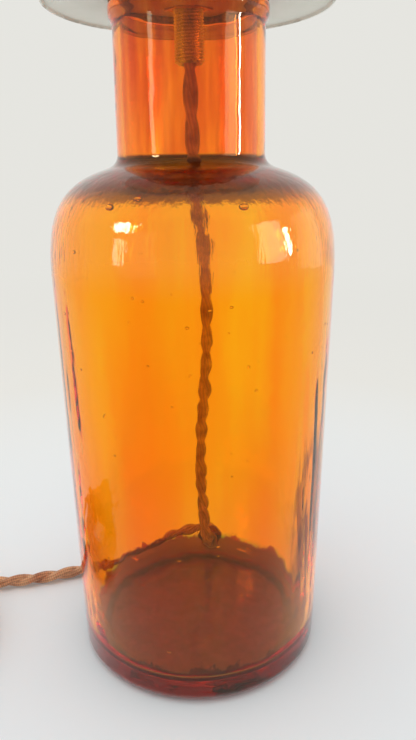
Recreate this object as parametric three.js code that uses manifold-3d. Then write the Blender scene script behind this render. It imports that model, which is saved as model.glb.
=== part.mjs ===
// Table lamp made from an amber glass bottle. A pale metal plate closes the mouth on a cork ring, a brass
// threaded tube hangs through the plate into the neck, and a screw-base lampholder with a turn switch and a
// bulb stand on it. The twisted cord hangs inside the bottle and leaves by a bushed hole low in the rear wall.
// Millimetres, +Z up, the origin on the table under the middle of the bottle, the cord hole towards +Y.
import * as THREE from "three";
import { mergeVertices } from "three/addons/utils/BufferGeometryUtils.js";
import Module from "manifold-3d";

const wasm = await Module();
wasm.setup();

// Clearances: around a fitted piece, and under a piece that rests on another.
const FIT_GAP = 0.3;
const SEAT_GAP = 0.1;

// Bottle: heights from the table, radii at the outside.
const BOTTLE_HEIGHT = 234;
const BASE_RADIUS = 47.7;
const BODY_RADIUS = 50;
const SHOULDER_START = 150;
const NECK_START = 185;
const NECK_RADIUS = 25.2;
const NECK_TOP_RADIUS = 24.9;
const NECK_FILLET = 3.8;
const LIP_RADIUS = 26.1;
const LIP_HEIGHT = 7;
const LIP_ROUND = 1.4;
const MOUTH_ROUND = 1;
const BODY_WALL = 3.2;
const NECK_WALL = 2.7;
const HEEL_RADIUS = 5;
const BEARING_WIDTH = 8;
const PUSH_UP = 2.5;
const FLOOR_THICKNESS = 5.5;
const FLOOR_CROWN = 1.5;
const INNER_HEEL_RADIUS = 8;
const SHOULDER_LIFT = 0.6;
const SHOULDER_TUCK = 0.22;
const SHOULDER_DROP = 0.157;

// Cord: a twisted pair, and the hole that lets it out of the bottle.
const CORD_DIAMETER = 5.4;
const EXIT_HEIGHT = 10.5;
const EXIT_AZIMUTH = THREE.MathUtils.degToRad(6);
const BUSH_RADIUS = 4.3;
const BUSH_FLANGE_RADIUS = 6.2;
const BUSH_FLANGE = 2;
const BUSH_REACH = 1;

// Cork ring, cap plate, threaded tube and the two rings that clamp the plate.
const CORK_THICKNESS = 0.8;
const CORK_DEPTH = 1.2;
const CORK_WIDTH = 2;
const CORK_EDGE = 0.4;
const PLATE_RADIUS = 47;
const PLATE_THICKNESS = 1.5;
const PLATE_RIM_DROP = 1;
const PLATE_RIM_WIDTH = 1.1;
const TUBE_RADIUS = 5;
const TUBE_BORE_RADIUS = 3.7;
const TUBE_HANG = 18.5;
const TUBE_CHAMFER = 0.5;
const NUT_ACROSS_FLATS = 14;
const NUT_HEIGHT = 2;
const LOCK_RING_RADIUS = 11;
const LOCK_RING_HEIGHT = 4;
const LOCK_RING_FLUTES = 20;
const LOCK_RING_FLUTE_DEPTH = 0.6;

// Lampholder: heights from the underside of its cup.
const BOSS_RADIUS = 8.5;
const BOSS_HEIGHT = 8;
const CUP_RADIUS = 20;
const CUP_HEIGHT = 22;
const CUP_WALL = 0.9;
const SHELL_OVERLAP = 6;
const SHELL_TOP = 58;
const SHELL_WALL = 0.8;
const SHELL_MOUTH_RADIUS = 15.4;
const SHELL_BEAD = 0.8;
const SHELL_BEAD_HEIGHT = 29;
const SLEEVE_WALL = 0.5;
const INSERT_HEIGHT = 14;
const INSERT_BASE = 18;
const NOTCH_WIDTH = 9;
const NOTCH_DEPTH = 4.4;
const NOTCH_HEIGHT = 8;
const TERMINAL_HEIGHT = 4.2;
const TERMINAL_HEAD_RADIUS = 2.4;
const TERMINAL_SHANK_RADIUS = 1.3;
const TERMINAL_SHANK = 5;
const TERMINAL_HEAD = 1.6;
const LEAD_DIAMETER = 1.6;
const GRUB_RADIUS = 1.5;
const GRUB_LENGTH = 3.6;
const SCREW_SHELL_BORE = 13.7;
const SCREW_SHELL_WALL = 0.6;
const SCREW_SHELL_HEIGHT = 22;
const CONTACT_WINDOW_RADIUS = 6;
const CONTACT_HEIGHT = 3;
const CONTACT_WIDTH = 4;
const CONTACT_STRIP = 0.5;

// Turn switch: its shaft lies along +X.
const SHAFT_RADIUS = 1.7;
const SHAFT_HEIGHT = 24.4;
const SHAFT_START = 6;
const KNOB_RADIUS = 5.2;
const KNOB_LENGTH = 10;
const KNOB_FLUTES = 10;
const KNOB_FLUTE_DEPTH = 0.5;
const KNOB_STANDOFF = 1.6;

// Bulb: heights from its contact tip.
const BULB_CAP_RADIUS = 13.1;
const BULB_CAP_WALL = 0.5;
const BULB_CAP_TOP = 28;
const BULB_TIP_HEIGHT = 1.8;
const BULB_TIP_RADIUS = 4.6;
const BULB_INSULATOR_HEIGHT = 5;
const BULB_RADIUS = 30;
const BULB_WIDEST = 72;
const BULB_NECK_START = 24.5;
const BULB_WALL = 0.8;
const STEM_RADIUS = 3.6;
const STEM_POST_RADIUS = 2;
const STEM_SHOULDER = 52;
const STEM_TOP = 76;
const STICK_RADIUS = 0.9;
const STICK_COUNT = 4;
const STICK_TOP = 73;
const STICK_BOTTOM = 45;
const STICK_TOP_SPREAD = 9.5;
const STICK_BOTTOM_SPREAD = 6.5;
const SUPPORT_RADIUS = 0.5;

// Coil of the unseen length, its tie, and the plug that lies on it.
const COIL_CENTRE = new THREE.Vector2(-128, -20);
const COIL_OUTER_RADIUS = 40;
const COIL_START_ANGLE = Math.PI / 2;
const COIL_TURNS_PER_LAYER = 19 / 6;
const COIL_CLIMB_TURNS = 0.5;
const COIL_TURN_GAP = 0.6;
const COIL_LAYER_GAP = 0.5;
const COIL_CLIMB_DIP = 1.2;
const COIL_STEPS_PER_TURN = 24;
const TIE_ANGLE = (3 * Math.PI) / 4;
const TIE_WIDTH = 8;
const TIE_THICKNESS = 0.6;
const TIE_SLACK = 0.9;
const PLUG_WIDTH = 35;
const PLUG_THICKNESS = 13.6;
const PLUG_LENGTH = 36;
const PLUG_ROUND = 1.2;
const RELIEF_LENGTH = 22;
const RELIEF_TIP_RADIUS = 3.9;
const RELIEF_ROOT_RADIUS = 5.8;
const RELIEF_RIBS = 5;
const RELIEF_GROOVE = 0.7;
const PIN_RADIUS = 2;
const PIN_LENGTH = 19;
const PIN_SPACING = 18.6;
const PIN_SLEEVE_LENGTH = 10;
const PIN_SLEEVE_STEP = 0.15;

// Facet counts round a turned piece, by its size.
const LARGE_ROUND = 44;
const MEDIUM_ROUND = 24;
const SMALL_ROUND = 16;
const CORD_SIDES = 10;
const WIRE_SIDES = 6;

// Places that follow from the sizes above.
const cordRadius = CORD_DIAMETER / 2;
const mouthRadius = NECK_TOP_RADIUS - NECK_WALL;
const corkTop = BOTTLE_HEIGHT + SEAT_GAP + CORK_THICKNESS;
const plateBottom = corkTop + SEAT_GAP;
const plateTop = plateBottom + PLATE_THICKNESS;
const lockRingBottom = plateTop + SEAT_GAP;
const holderBottom = lockRingBottom + LOCK_RING_HEIGHT + SEAT_GAP;
const threadBore = TUBE_RADIUS + FIT_GAP;
const tubeBottom = plateBottom - TUBE_HANG;
const tubeTop = holderBottom + BOSS_HEIGHT;
const cupTop = holderBottom + CUP_HEIGHT;
const shellRadius = CUP_RADIUS - CUP_WALL - FIT_GAP;
const shellBottom = cupTop - SHELL_OVERLAP;
const shellTop = holderBottom + SHELL_TOP;
const sleeveRadius = shellRadius - SHELL_WALL - FIT_GAP;
const insertRadius = sleeveRadius - SLEEVE_WALL - FIT_GAP;
const insertBottom = holderBottom + INSERT_BASE;
const insertTop = insertBottom + INSERT_HEIGHT;
const shaftZ = holderBottom + SHAFT_HEIGHT;
const terminalZ = insertBottom + TERMINAL_HEIGHT;
const screwShellBottom = insertTop + SEAT_GAP;
const bulbBottom = screwShellBottom + CONTACT_HEIGHT + FIT_GAP;
const wallRadiusAt = (z) => THREE.MathUtils.mapLinear(z, 0, SHOULDER_START, BASE_RADIUS, BODY_RADIUS);
const exitWall = wallRadiusAt(EXIT_HEIGHT);
const bushOuterFace = exitWall + FIT_GAP + BUSH_FLANGE;

// A finish is made afresh for each piece, so that every mesh has a material of its own.
const FINISHES = {
  amberGlass: { color: 0xd9730d, roughness: 0.05, metalness: 0, transparent: true, opacity: 0.45 },
  clearGlass: { color: 0xe8eef0, roughness: 0.05, metalness: 0, transparent: true, opacity: 0.35 },
  brass: { color: 0xb08840, roughness: 0.35, metalness: 1 },
  nickel: { color: 0xb9b8b2, roughness: 0.3, metalness: 1 },
  palePaint: { color: 0xc7c8bd, roughness: 0.5, metalness: 0 },
  cork: { color: 0x8a5a34, roughness: 0.9, metalness: 0 },
  porcelain: { color: 0xe9e4d8, roughness: 0.3, metalness: 0 },
  fibre: { color: 0x4a3b30, roughness: 0.9, metalness: 0 },
  blackGlass: { color: 0x1b1a1c, roughness: 0.2, metalness: 0 },
  filament: { color: 0xe6b64c, roughness: 0.6, metalness: 0 },
  clothCord: { color: 0x9a6a3c, roughness: 0.9, metalness: 0 },
  darkRubber: { color: 0x2a2523, roughness: 0.8, metalness: 0 },
  darkPlastic: { color: 0x2b2422, roughness: 0.45, metalness: 0 },
};
const finish = (name) => new THREE.MeshStandardMaterial(FINISHES[name]);

const lamp = new THREE.Group();
function place(name, geometry, finishName, parent = lamp) {
  const mesh = new THREE.Mesh(geometry, finish(finishName));
  mesh.name = name;
  parent.add(mesh);
  return mesh;
}

// Outlines: straight runs and curves, each curve with its own number of steps.
const point = ([r, z]) => new THREE.Vector2(r, z);
const line = (...points) => points.map(point);
const bend = (steps, start, corner, end) =>
  new THREE.QuadraticBezierCurve(point(start), point(corner), point(end)).getPoints(steps);
const sweep = (steps, start, leave, arrive, end) =>
  new THREE.CubicBezierCurve(point(start), point(leave), point(arrive), point(end)).getPoints(steps);
const arc = (steps, centre, radius, from, to) =>
  new THREE.EllipseCurve(centre[0], centre[1], radius, radius, from, to, to < from).getPoints(steps);
const withoutRepeats = (points) =>
  points.filter((p, i) => i === 0 || p.distanceTo(points[i - 1]) > 1e-4);

// A turned piece about Z. An outline that doesn't begin and end on the axis closes on itself.
function turned(outline, round) {
  const points = withoutRepeats(outline);
  const onAxis = points[0].x === 0 && points.at(-1).x === 0;
  if (!onAxis) points.push(points[0].clone());
  return new THREE.LatheGeometry(points, round).rotateX(Math.PI / 2);
}

// A turned piece about X, for pins, screws and sleeves that lie on their side.
const turnedAlongX = (outline, round) => turned(outline, round).rotateY(Math.PI / 2);

// A tube of a given width along a curve.
function tubeAlong(curve, diameter, sides, steps) {
  const section = new THREE.Shape();
  section.absarc(0, 0, diameter / 2, 0, 2 * Math.PI);
  return new THREE.ExtrudeGeometry(section, { steps, curveSegments: sides / 2, extrudePath: curve });
}

// A flat outline raised along Z.
const raised = (shape, depth, options = {}) =>
  new THREE.ExtrudeGeometry(shape, { depth, bevelEnabled: false, curveSegments: 6, ...options });

function asSolid(geometry) {
  const bare = geometry.clone();
  bare.deleteAttribute("normal");
  bare.deleteAttribute("uv");
  const merged = mergeVertices(bare, 1e-4);
  const vertProperties = merged.attributes.position.array;
  const triVerts = new Uint32Array(merged.index.array);
  return new wasm.Manifold(new wasm.Mesh({ numProp: 3, vertProperties, triVerts }));
}

function asGeometry(solid) {
  const { vertProperties, triVerts } = solid.getMesh();
  const geometry = new THREE.BufferGeometry();
  geometry.setAttribute("position", new THREE.BufferAttribute(vertProperties, 3));
  geometry.setIndex(new THREE.BufferAttribute(triVerts, 1));
  geometry.computeVertexNormals();
  return geometry;
}

const cut = (body, ...tools) =>
  asGeometry(tools.reduce((solid, tool) => solid.subtract(asSolid(tool)), asSolid(body)));
const joined = (first, ...others) =>
  asGeometry(others.reduce((solid, other) => solid.add(asSolid(other)), asSolid(first)));

// A round bar along X from one end to the other, at a height.
const barAlongX = (radius, from, to, z, round = SMALL_ROUND) =>
  new THREE.CylinderGeometry(radius, radius, to - from, round)
    .rotateZ(Math.PI / 2)
    .translate((from + to) / 2, 0, z);

// A fluted round outline, for the lock ring and the knob.
function flutedOutline(radius, flutes, depth) {
  const shape = new THREE.Shape();
  const steps = flutes * 3;
  for (let i = 0; i < steps; i += 1) {
    const angle = (2 * Math.PI * i) / steps;
    const reach = radius - (depth / 2) * (1 - Math.cos(flutes * angle));
    const x = reach * Math.cos(angle);
    const y = reach * Math.sin(angle);
    if (i === 0) shape.moveTo(x, y);
    else shape.lineTo(x, y);
  }
  shape.closePath();
  return shape;
}

function withHole(shape, radius) {
  const hole = new THREE.Path();
  hole.absarc(0, 0, radius, 0, 2 * Math.PI, true);
  shape.holes.push(hole);
  return shape;
}

// The bottle. Its shoulder is one curve from the upright wall to the foot of the neck; the inner face repeats
// it one wall further in.
function shoulderHandles(wall) {
  const rise = NECK_START - SHOULDER_START;
  const run = BODY_RADIUS - NECK_RADIUS;
  const neckWall = wall > 0 ? NECK_WALL : 0;
  return {
    foot: [BODY_RADIUS - wall, SHOULDER_START],
    leave: [BODY_RADIUS - wall, SHOULDER_START + SHOULDER_LIFT * rise],
    arrive: [BODY_RADIUS - SHOULDER_TUCK * run - 0.7 * wall, NECK_START - SHOULDER_DROP * rise - 0.8 * wall],
    top: [NECK_RADIUS - neckWall + NECK_FILLET, NECK_START - 0.2 * NECK_FILLET - wall],
    corner: [NECK_RADIUS - neckWall, NECK_START + 0.13 * NECK_FILLET - wall],
    neck: [NECK_RADIUS - neckWall, NECK_START + NECK_FILLET],
  };
}

function makeBottle() {
  const heelTop = wallRadiusAt(HEEL_RADIUS);
  const bearingOuter = heelTop - HEEL_RADIUS;
  const bearingInner = bearingOuter - BEARING_WIDTH;
  const lipStart = BOTTLE_HEIGHT - LIP_HEIGHT;
  const lipFull = lipStart + 0.6 * LIP_HEIGHT;
  const innerHeelTop = FLOOR_THICKNESS + INNER_HEEL_RADIUS;
  const innerWall = wallRadiusAt(innerHeelTop) - BODY_WALL;
  const floorEdge = innerWall - INNER_HEEL_RADIUS;
  const outer = shoulderHandles(0);
  const inner = shoulderHandles(BODY_WALL);
  const outline = [
    ...bend(3, [0, PUSH_UP], [bearingInner / 2, PUSH_UP], [bearingInner, 0]),
    ...arc(5, [bearingOuter, HEEL_RADIUS], HEEL_RADIUS, -Math.PI / 2, 0),
    ...sweep(9, outer.foot, outer.leave, outer.arrive, outer.top),
    ...bend(4, outer.top, outer.corner, outer.neck),
    ...sweep(4, [NECK_TOP_RADIUS, lipStart], [NECK_TOP_RADIUS, lipStart + 2], [LIP_RADIUS, lipStart + 2],
      [LIP_RADIUS, lipFull]),
    ...arc(3, [LIP_RADIUS - LIP_ROUND, BOTTLE_HEIGHT - LIP_ROUND], LIP_ROUND, 0, Math.PI / 2),
    ...arc(2, [mouthRadius + MOUTH_ROUND, BOTTLE_HEIGHT - MOUTH_ROUND], MOUTH_ROUND, Math.PI / 2, Math.PI),
    ...bend(3, inner.neck, inner.corner, inner.top),
    ...sweep(7, inner.top, inner.arrive, inner.leave, inner.foot),
    ...arc(4, [floorEdge, innerHeelTop], INNER_HEEL_RADIUS, 0, -Math.PI / 2),
    ...bend(3, [floorEdge, FLOOR_THICKNESS], [floorEdge / 2, FLOOR_THICKNESS + FLOOR_CROWN],
      [0, FLOOR_THICKNESS + FLOOR_CROWN]),
  ];
  const drillLength = BODY_WALL + 2 * INNER_HEEL_RADIUS;
  const drill = new THREE.CylinderGeometry(BUSH_RADIUS + FIT_GAP, BUSH_RADIUS + FIT_GAP, drillLength, 24)
    .translate(0, exitWall + 1 - drillLength / 2 + BODY_WALL, EXIT_HEIGHT)
    .rotateZ(-EXIT_AZIMUTH);
  place("glass_bottle", cut(turned(outline, LARGE_ROUND), drill), "amberGlass");
}

// The rubber bush in the cord hole: a sleeve with a flange outside and a rounded nose.
function makeBush() {
  const inside = exitWall - BODY_WALL - BUSH_REACH;
  const flangeInner = exitWall + FIT_GAP;
  const bore = cordRadius + FIT_GAP;
  const outline = [
    ...line([bore, inside], [BUSH_RADIUS, inside], [BUSH_RADIUS, flangeInner]),
    ...line([BUSH_FLANGE_RADIUS, flangeInner]),
    ...bend(3, [BUSH_FLANGE_RADIUS, flangeInner + BUSH_FLANGE / 2], [BUSH_FLANGE_RADIUS, bushOuterFace],
      [bore + 1, bushOuterFace]),
    ...line([bore, bushOuterFace]),
  ];
  const bush = turned(outline, 20).rotateX(-Math.PI / 2);
  place("cord_grommet", bush.translate(0, 0, EXIT_HEIGHT).rotateZ(-EXIT_AZIMUTH), "darkRubber");
}

// The cork ring sits on the lip and reaches a little way into the mouth.
function makeCorkRing() {
  const spigot = mouthRadius - FIT_GAP;
  const bottom = BOTTLE_HEIGHT + SEAT_GAP;
  const rim = LIP_RADIUS - CORK_EDGE;
  const outline = line(
    [spigot - CORK_WIDTH, bottom - CORK_DEPTH],
    [spigot, bottom - CORK_DEPTH],
    [spigot, bottom],
    [rim, bottom],
    [rim, corkTop],
    [spigot - CORK_WIDTH, corkTop],
  );
  place("cork_ring", turned(outline, LARGE_ROUND), "cork");
}

// The cap plate: a flat disc with its edge turned down.
function makePlate() {
  const rimBottom = plateBottom - PLATE_RIM_DROP;
  const rimInner = PLATE_RADIUS - PLATE_RIM_WIDTH;
  const outline = [
    ...line([threadBore, plateBottom], [rimInner - PLATE_RIM_DROP, plateBottom]),
    ...bend(2, [rimInner - 0.6, plateBottom], [rimInner, plateBottom], [rimInner, rimBottom + 0.3]),
    ...bend(3, [rimInner, rimBottom + 0.3], [rimInner + PLATE_RIM_WIDTH / 2, rimBottom - 0.3],
      [PLATE_RADIUS, rimBottom + 0.4]),
    ...bend(4, [PLATE_RADIUS, plateTop - PLATE_THICKNESS], [PLATE_RADIUS, plateTop],
      [PLATE_RADIUS - PLATE_THICKNESS, plateTop]),
    ...line([threadBore, plateTop]),
  ];
  place("cap_plate", turned(outline, LARGE_ROUND), "palePaint");
}

function makeTube() {
  const outline = line(
    [TUBE_BORE_RADIUS, tubeBottom],
    [TUBE_RADIUS - TUBE_CHAMFER, tubeBottom],
    [TUBE_RADIUS, tubeBottom + TUBE_CHAMFER],
    [TUBE_RADIUS, tubeTop - TUBE_CHAMFER],
    [TUBE_RADIUS - TUBE_CHAMFER, tubeTop],
    [TUBE_BORE_RADIUS, tubeTop],
  );
  place("threaded_tube", turned(outline, 24), "brass");
}

function makeClampRings() {
  const hexagon = new THREE.Shape();
  const corner = NUT_ACROSS_FLATS / Math.sqrt(3);
  for (let i = 0; i < 6; i += 1) {
    const angle = (Math.PI / 3) * i;
    const x = corner * Math.cos(angle);
    const y = corner * Math.sin(angle);
    if (i === 0) hexagon.moveTo(x, y);
    else hexagon.lineTo(x, y);
  }
  hexagon.closePath();
  const nut = raised(withHole(hexagon, threadBore), NUT_HEIGHT, { curveSegments: 12 });
  place("lower_nut", nut.translate(0, 0, plateBottom - SEAT_GAP - NUT_HEIGHT), "brass");
  const fluted = flutedOutline(LOCK_RING_RADIUS, LOCK_RING_FLUTES, LOCK_RING_FLUTE_DEPTH);
  const ring = raised(withHole(fluted, threadBore), LOCK_RING_HEIGHT, { curveSegments: 12 });
  place("lock_ring", ring.translate(0, 0, lockRingBottom), "brass");
}

// The lampholder's cup screws on the tube, and a grub screw in its boss locks it there.
function makeCup() {
  const z = (height) => holderBottom + height;
  const inside = CUP_RADIUS - CUP_WALL;
  const spring = CUP_HEIGHT - 7;
  const outline = [
    ...line([threadBore, z(0)], [BOSS_RADIUS, z(0)]),
    ...sweep(7, [BOSS_RADIUS, z(BOSS_HEIGHT / 2)], [BOSS_RADIUS, z(BOSS_HEIGHT + 1.5)],
      [CUP_RADIUS, z(BOSS_HEIGHT - 0.5)], [CUP_RADIUS, z(spring)]),
    ...line([CUP_RADIUS, cupTop], [inside, cupTop]),
    ...sweep(7, [inside, z(spring)], [inside, z(BOSS_HEIGHT + 1.3)], [BOSS_RADIUS + 2.5, z(BOSS_HEIGHT + 0.6)],
      [threadBore + 1, z(BOSS_HEIGHT)]),
    ...line([threadBore, z(BOSS_HEIGHT)]),
  ];
  const screwZ = z(BOSS_HEIGHT / 4);
  const tapped = barAlongX(GRUB_RADIUS + FIT_GAP, -BOSS_RADIUS - 2, -TUBE_RADIUS, screwZ);
  place("holder_cup", cut(turned(outline, MEDIUM_ROUND), tapped), "brass");
  const screwEnd = -threadBore - FIT_GAP;
  const slot = new THREE.BoxGeometry(1.2, 4 * GRUB_RADIUS, 0.6).translate(screwEnd - GRUB_LENGTH, 0, screwZ);
  const screw = barAlongX(GRUB_RADIUS, screwEnd - GRUB_LENGTH, screwEnd, screwZ);
  place("holder_grub_screw", cut(screw, slot), "nickel");
}

// The outer shell stands inside the cup's rim and turns in at the top. A slot lets the switch shaft out.
function makeShell() {
  const inside = shellRadius - SHELL_WALL;
  const bead = holderBottom + SHELL_BEAD_HEIGHT;
  const shoulder = shellTop - 3;
  const outline = [
    ...line([inside, shellBottom], [shellRadius, shellBottom], [shellRadius, bead - 1.2]),
    ...bend(4, [shellRadius, bead - 1.2], [shellRadius + 2 * SHELL_BEAD, bead], [shellRadius, bead + 1.2]),
    ...bend(4, [shellRadius, shoulder], [shellRadius, shellTop], [shellRadius - 2.2, shellTop]),
    ...line([SHELL_MOUTH_RADIUS, shellTop], [SHELL_MOUTH_RADIUS, shellTop - SHELL_WALL]),
    ...bend(4, [inside - 1.6, shellTop - SHELL_WALL], [inside, shellTop - SHELL_WALL], [inside, shoulder]),
  ];
  const slotWidth = 2 * (SHAFT_RADIUS + 2 * FIT_GAP);
  const slotTop = shaftZ + SHAFT_RADIUS + 2 * FIT_GAP;
  const slotHeight = slotTop - shellBottom + 1;
  const slot = new THREE.BoxGeometry(8, slotWidth, slotHeight)
    .translate(shellRadius, 0, slotTop - slotHeight / 2);
  place("holder_shell", cut(turned(outline, MEDIUM_ROUND), slot), "brass");
}

// A fibre sleeve keeps the live parts from the shell.
function makeSleeve() {
  const bottom = shellBottom + 1;
  const top = shellTop - 4;
  const inside = sleeveRadius - SLEEVE_WALL;
  const outline = line([inside, bottom], [sleeveRadius, bottom], [sleeveRadius, top], [inside, top]);
  const opening = barAlongX(SHAFT_RADIUS + 2 * FIT_GAP, inside - 3, sleeveRadius + 2, shaftZ);
  place("insulating_sleeve", cut(turned(outline, MEDIUM_ROUND), opening), "fibre");
}

// The porcelain insert carries the switch, the terminals and the screw shell.
const sides = { live: 1, neutral: -1 };
function makeInsert() {
  const edge = 1;
  const outline = line(
    [0, insertBottom],
    [insertRadius - edge, insertBottom],
    [insertRadius, insertBottom + edge],
    [insertRadius, insertTop - edge],
    [insertRadius - edge, insertTop],
    [0, insertTop],
  );
  const notchBack = insertRadius - NOTCH_DEPTH;
  const bores = [barAlongX(SHAFT_RADIUS + FIT_GAP, SHAFT_START - 1, insertRadius + 2, shaftZ)];
  for (const side of Object.values(sides)) {
    const notch = new THREE.BoxGeometry(NOTCH_WIDTH, 2 * NOTCH_DEPTH, 2 * NOTCH_HEIGHT);
    bores.push(notch.translate(0, side * (notchBack + NOTCH_DEPTH), insertBottom));
    const hole = barAlongX(TERMINAL_SHANK_RADIUS + FIT_GAP, 0, TERMINAL_SHANK + 1, 0, 12);
    const holeStart = notchBack - TERMINAL_SHANK - FIT_GAP;
    bores.push(hole.translate(holeStart, 0, terminalZ).rotateZ((side * Math.PI) / 2));
  }
  place("holder_insert", cut(turned(outline, MEDIUM_ROUND), ...bores), "porcelain");
}

function makeTerminals() {
  const notchBack = insertRadius - NOTCH_DEPTH;
  const seat = notchBack + FIT_GAP;
  const shankEnd = notchBack - TERMINAL_SHANK;
  const headTop = seat + TERMINAL_HEAD;
  const outline = line(
    [0, shankEnd],
    [TERMINAL_SHANK_RADIUS, shankEnd],
    [TERMINAL_SHANK_RADIUS, seat],
    [TERMINAL_HEAD_RADIUS, seat],
    [TERMINAL_HEAD_RADIUS, headTop],
    [0, headTop],
  );
  const screw = turnedAlongX(outline, 12);
  const slot = new THREE.BoxGeometry(1, 3 * TERMINAL_HEAD_RADIUS, 0.7).translate(headTop, 0, 0);
  const slotted = cut(screw, slot).translate(0, 0, terminalZ);
  const leadStart = tubeTop + 2.6;
  for (const [name, side] of Object.entries(sides)) {
    place(`terminal_screw_${name}`, slotted.clone().rotateZ((side * Math.PI) / 2), "brass");
    const wireEnd = terminalZ - TERMINAL_HEAD_RADIUS - FIT_GAP;
    const y = (reach) => side * reach;
    const route = new THREE.CatmullRomCurve3([
      new THREE.Vector3(0, y(1.2), leadStart),
      new THREE.Vector3(0, y(2.4), leadStart + 2),
      new THREE.Vector3(0, y(7), leadStart + 3.4),
      new THREE.Vector3(0, y(seat + 0.2), wireEnd - 3.4),
      new THREE.Vector3(0, y(seat + TERMINAL_HEAD / 2), wireEnd),
    ]);
    place(`lead_${name}`, tubeAlong(route, LEAD_DIAMETER, WIRE_SIDES, 14), "clothCord");
  }
}

// The screw shell takes the bulb, and a sprung leaf in its floor meets the bulb's tip.
function makeContacts() {
  const outside = SCREW_SHELL_BORE + SCREW_SHELL_WALL;
  const floorTop = screwShellBottom + SCREW_SHELL_WALL;
  const top = screwShellBottom + SCREW_SHELL_HEIGHT;
  const outline = line(
    [CONTACT_WINDOW_RADIUS, screwShellBottom],
    [outside, screwShellBottom],
    [outside, top],
    [SCREW_SHELL_BORE, top],
    [SCREW_SHELL_BORE, floorTop],
    [CONTACT_WINDOW_RADIUS, floorTop],
  );
  place("screw_shell", turned(outline, MEDIUM_ROUND), "brass");
  const crest = CONTACT_HEIGHT;
  const under = CONTACT_HEIGHT - CONTACT_STRIP;
  const leaf = new THREE.Shape();
  leaf.moveTo(-5, 0);
  leaf.lineTo(-2.6, 0);
  leaf.quadraticCurveTo(-1.2, under, 0.6, under);
  leaf.lineTo(3.6, under - 0.6);
  leaf.lineTo(3.7, crest - 0.6);
  leaf.lineTo(0.7, crest);
  leaf.quadraticCurveTo(-1.8, crest, -3, CONTACT_STRIP);
  leaf.lineTo(-5, CONTACT_STRIP);
  leaf.closePath();
  const strip = raised(leaf, CONTACT_WIDTH).rotateX(Math.PI / 2);
  place("centre_contact", strip.translate(0, CONTACT_WIDTH / 2, screwShellBottom), "brass");
}

function makeKnob() {
  const start = CUP_RADIUS + KNOB_STANDOFF;
  const bevel = { bevelEnabled: true, bevelSize: 0.7, bevelThickness: 0.7, bevelOffset: -0.7, bevelSegments: 2 };
  const grip = raised(flutedOutline(KNOB_RADIUS, KNOB_FLUTES, KNOB_FLUTE_DEPTH), KNOB_LENGTH - 1.4, bevel);
  grip.rotateY(Math.PI / 2).translate(start + 0.7, 0, shaftZ);
  const shaft = barAlongX(SHAFT_RADIUS, SHAFT_START, start + KNOB_LENGTH / 2, shaftZ);
  place("switch_knob", joined(grip, shaft), "brass");
}

// The bulb: contact tip, insulator, screw cap, glass, stem and four straight filaments in a cage.
function makeBulbBase() {
  const z = (height) => bulbBottom + height;
  const tip = [
    ...bend(3, [0, z(0)], [BULB_TIP_RADIUS - 1, z(0)], [BULB_TIP_RADIUS, z(BULB_TIP_HEIGHT)]),
    ...line([0, z(BULB_TIP_HEIGHT)]),
  ];
  place("bulb_tip", turned(tip, SMALL_ROUND), "nickel");
  const glassBottom = BULB_TIP_HEIGHT + SEAT_GAP;
  const rim = glassBottom + BULB_INSULATOR_HEIGHT;
  const collar = BULB_CAP_RADIUS - 1.5;
  const insulator = [
    ...line([0, z(glassBottom)], [BULB_TIP_RADIUS + 0.8, z(glassBottom)]),
    ...bend(3, [BULB_TIP_RADIUS + 0.8, z(glassBottom)], [collar, z(glassBottom + 2)], [collar, z(rim - 1)]),
    ...line([collar, z(rim)], [0, z(rim)]),
  ];
  place("bulb_insulator", turned(insulator, MEDIUM_ROUND), "blackGlass");
  const inner = BULB_CAP_RADIUS - BULB_CAP_WALL;
  const foot = rim - 1;
  const shell = line(
    [collar + FIT_GAP, z(foot)],
    [BULB_CAP_RADIUS, z(foot + 2)],
    [BULB_CAP_RADIUS, z(BULB_CAP_TOP - 4)],
    [BULB_CAP_RADIUS - 0.4, z(BULB_CAP_TOP - 3)],
    [BULB_CAP_RADIUS - 0.2, z(BULB_CAP_TOP)],
    [inner - 0.2, z(BULB_CAP_TOP)],
    [inner - 0.4, z(BULB_CAP_TOP - 3)],
    [inner, z(BULB_CAP_TOP - 4)],
    [inner, z(foot + 2.2)],
    [collar + FIT_GAP, z(foot + 0.6)],
  );
  place("bulb_cap", turned(shell, MEDIUM_ROUND), "nickel");
}

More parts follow.
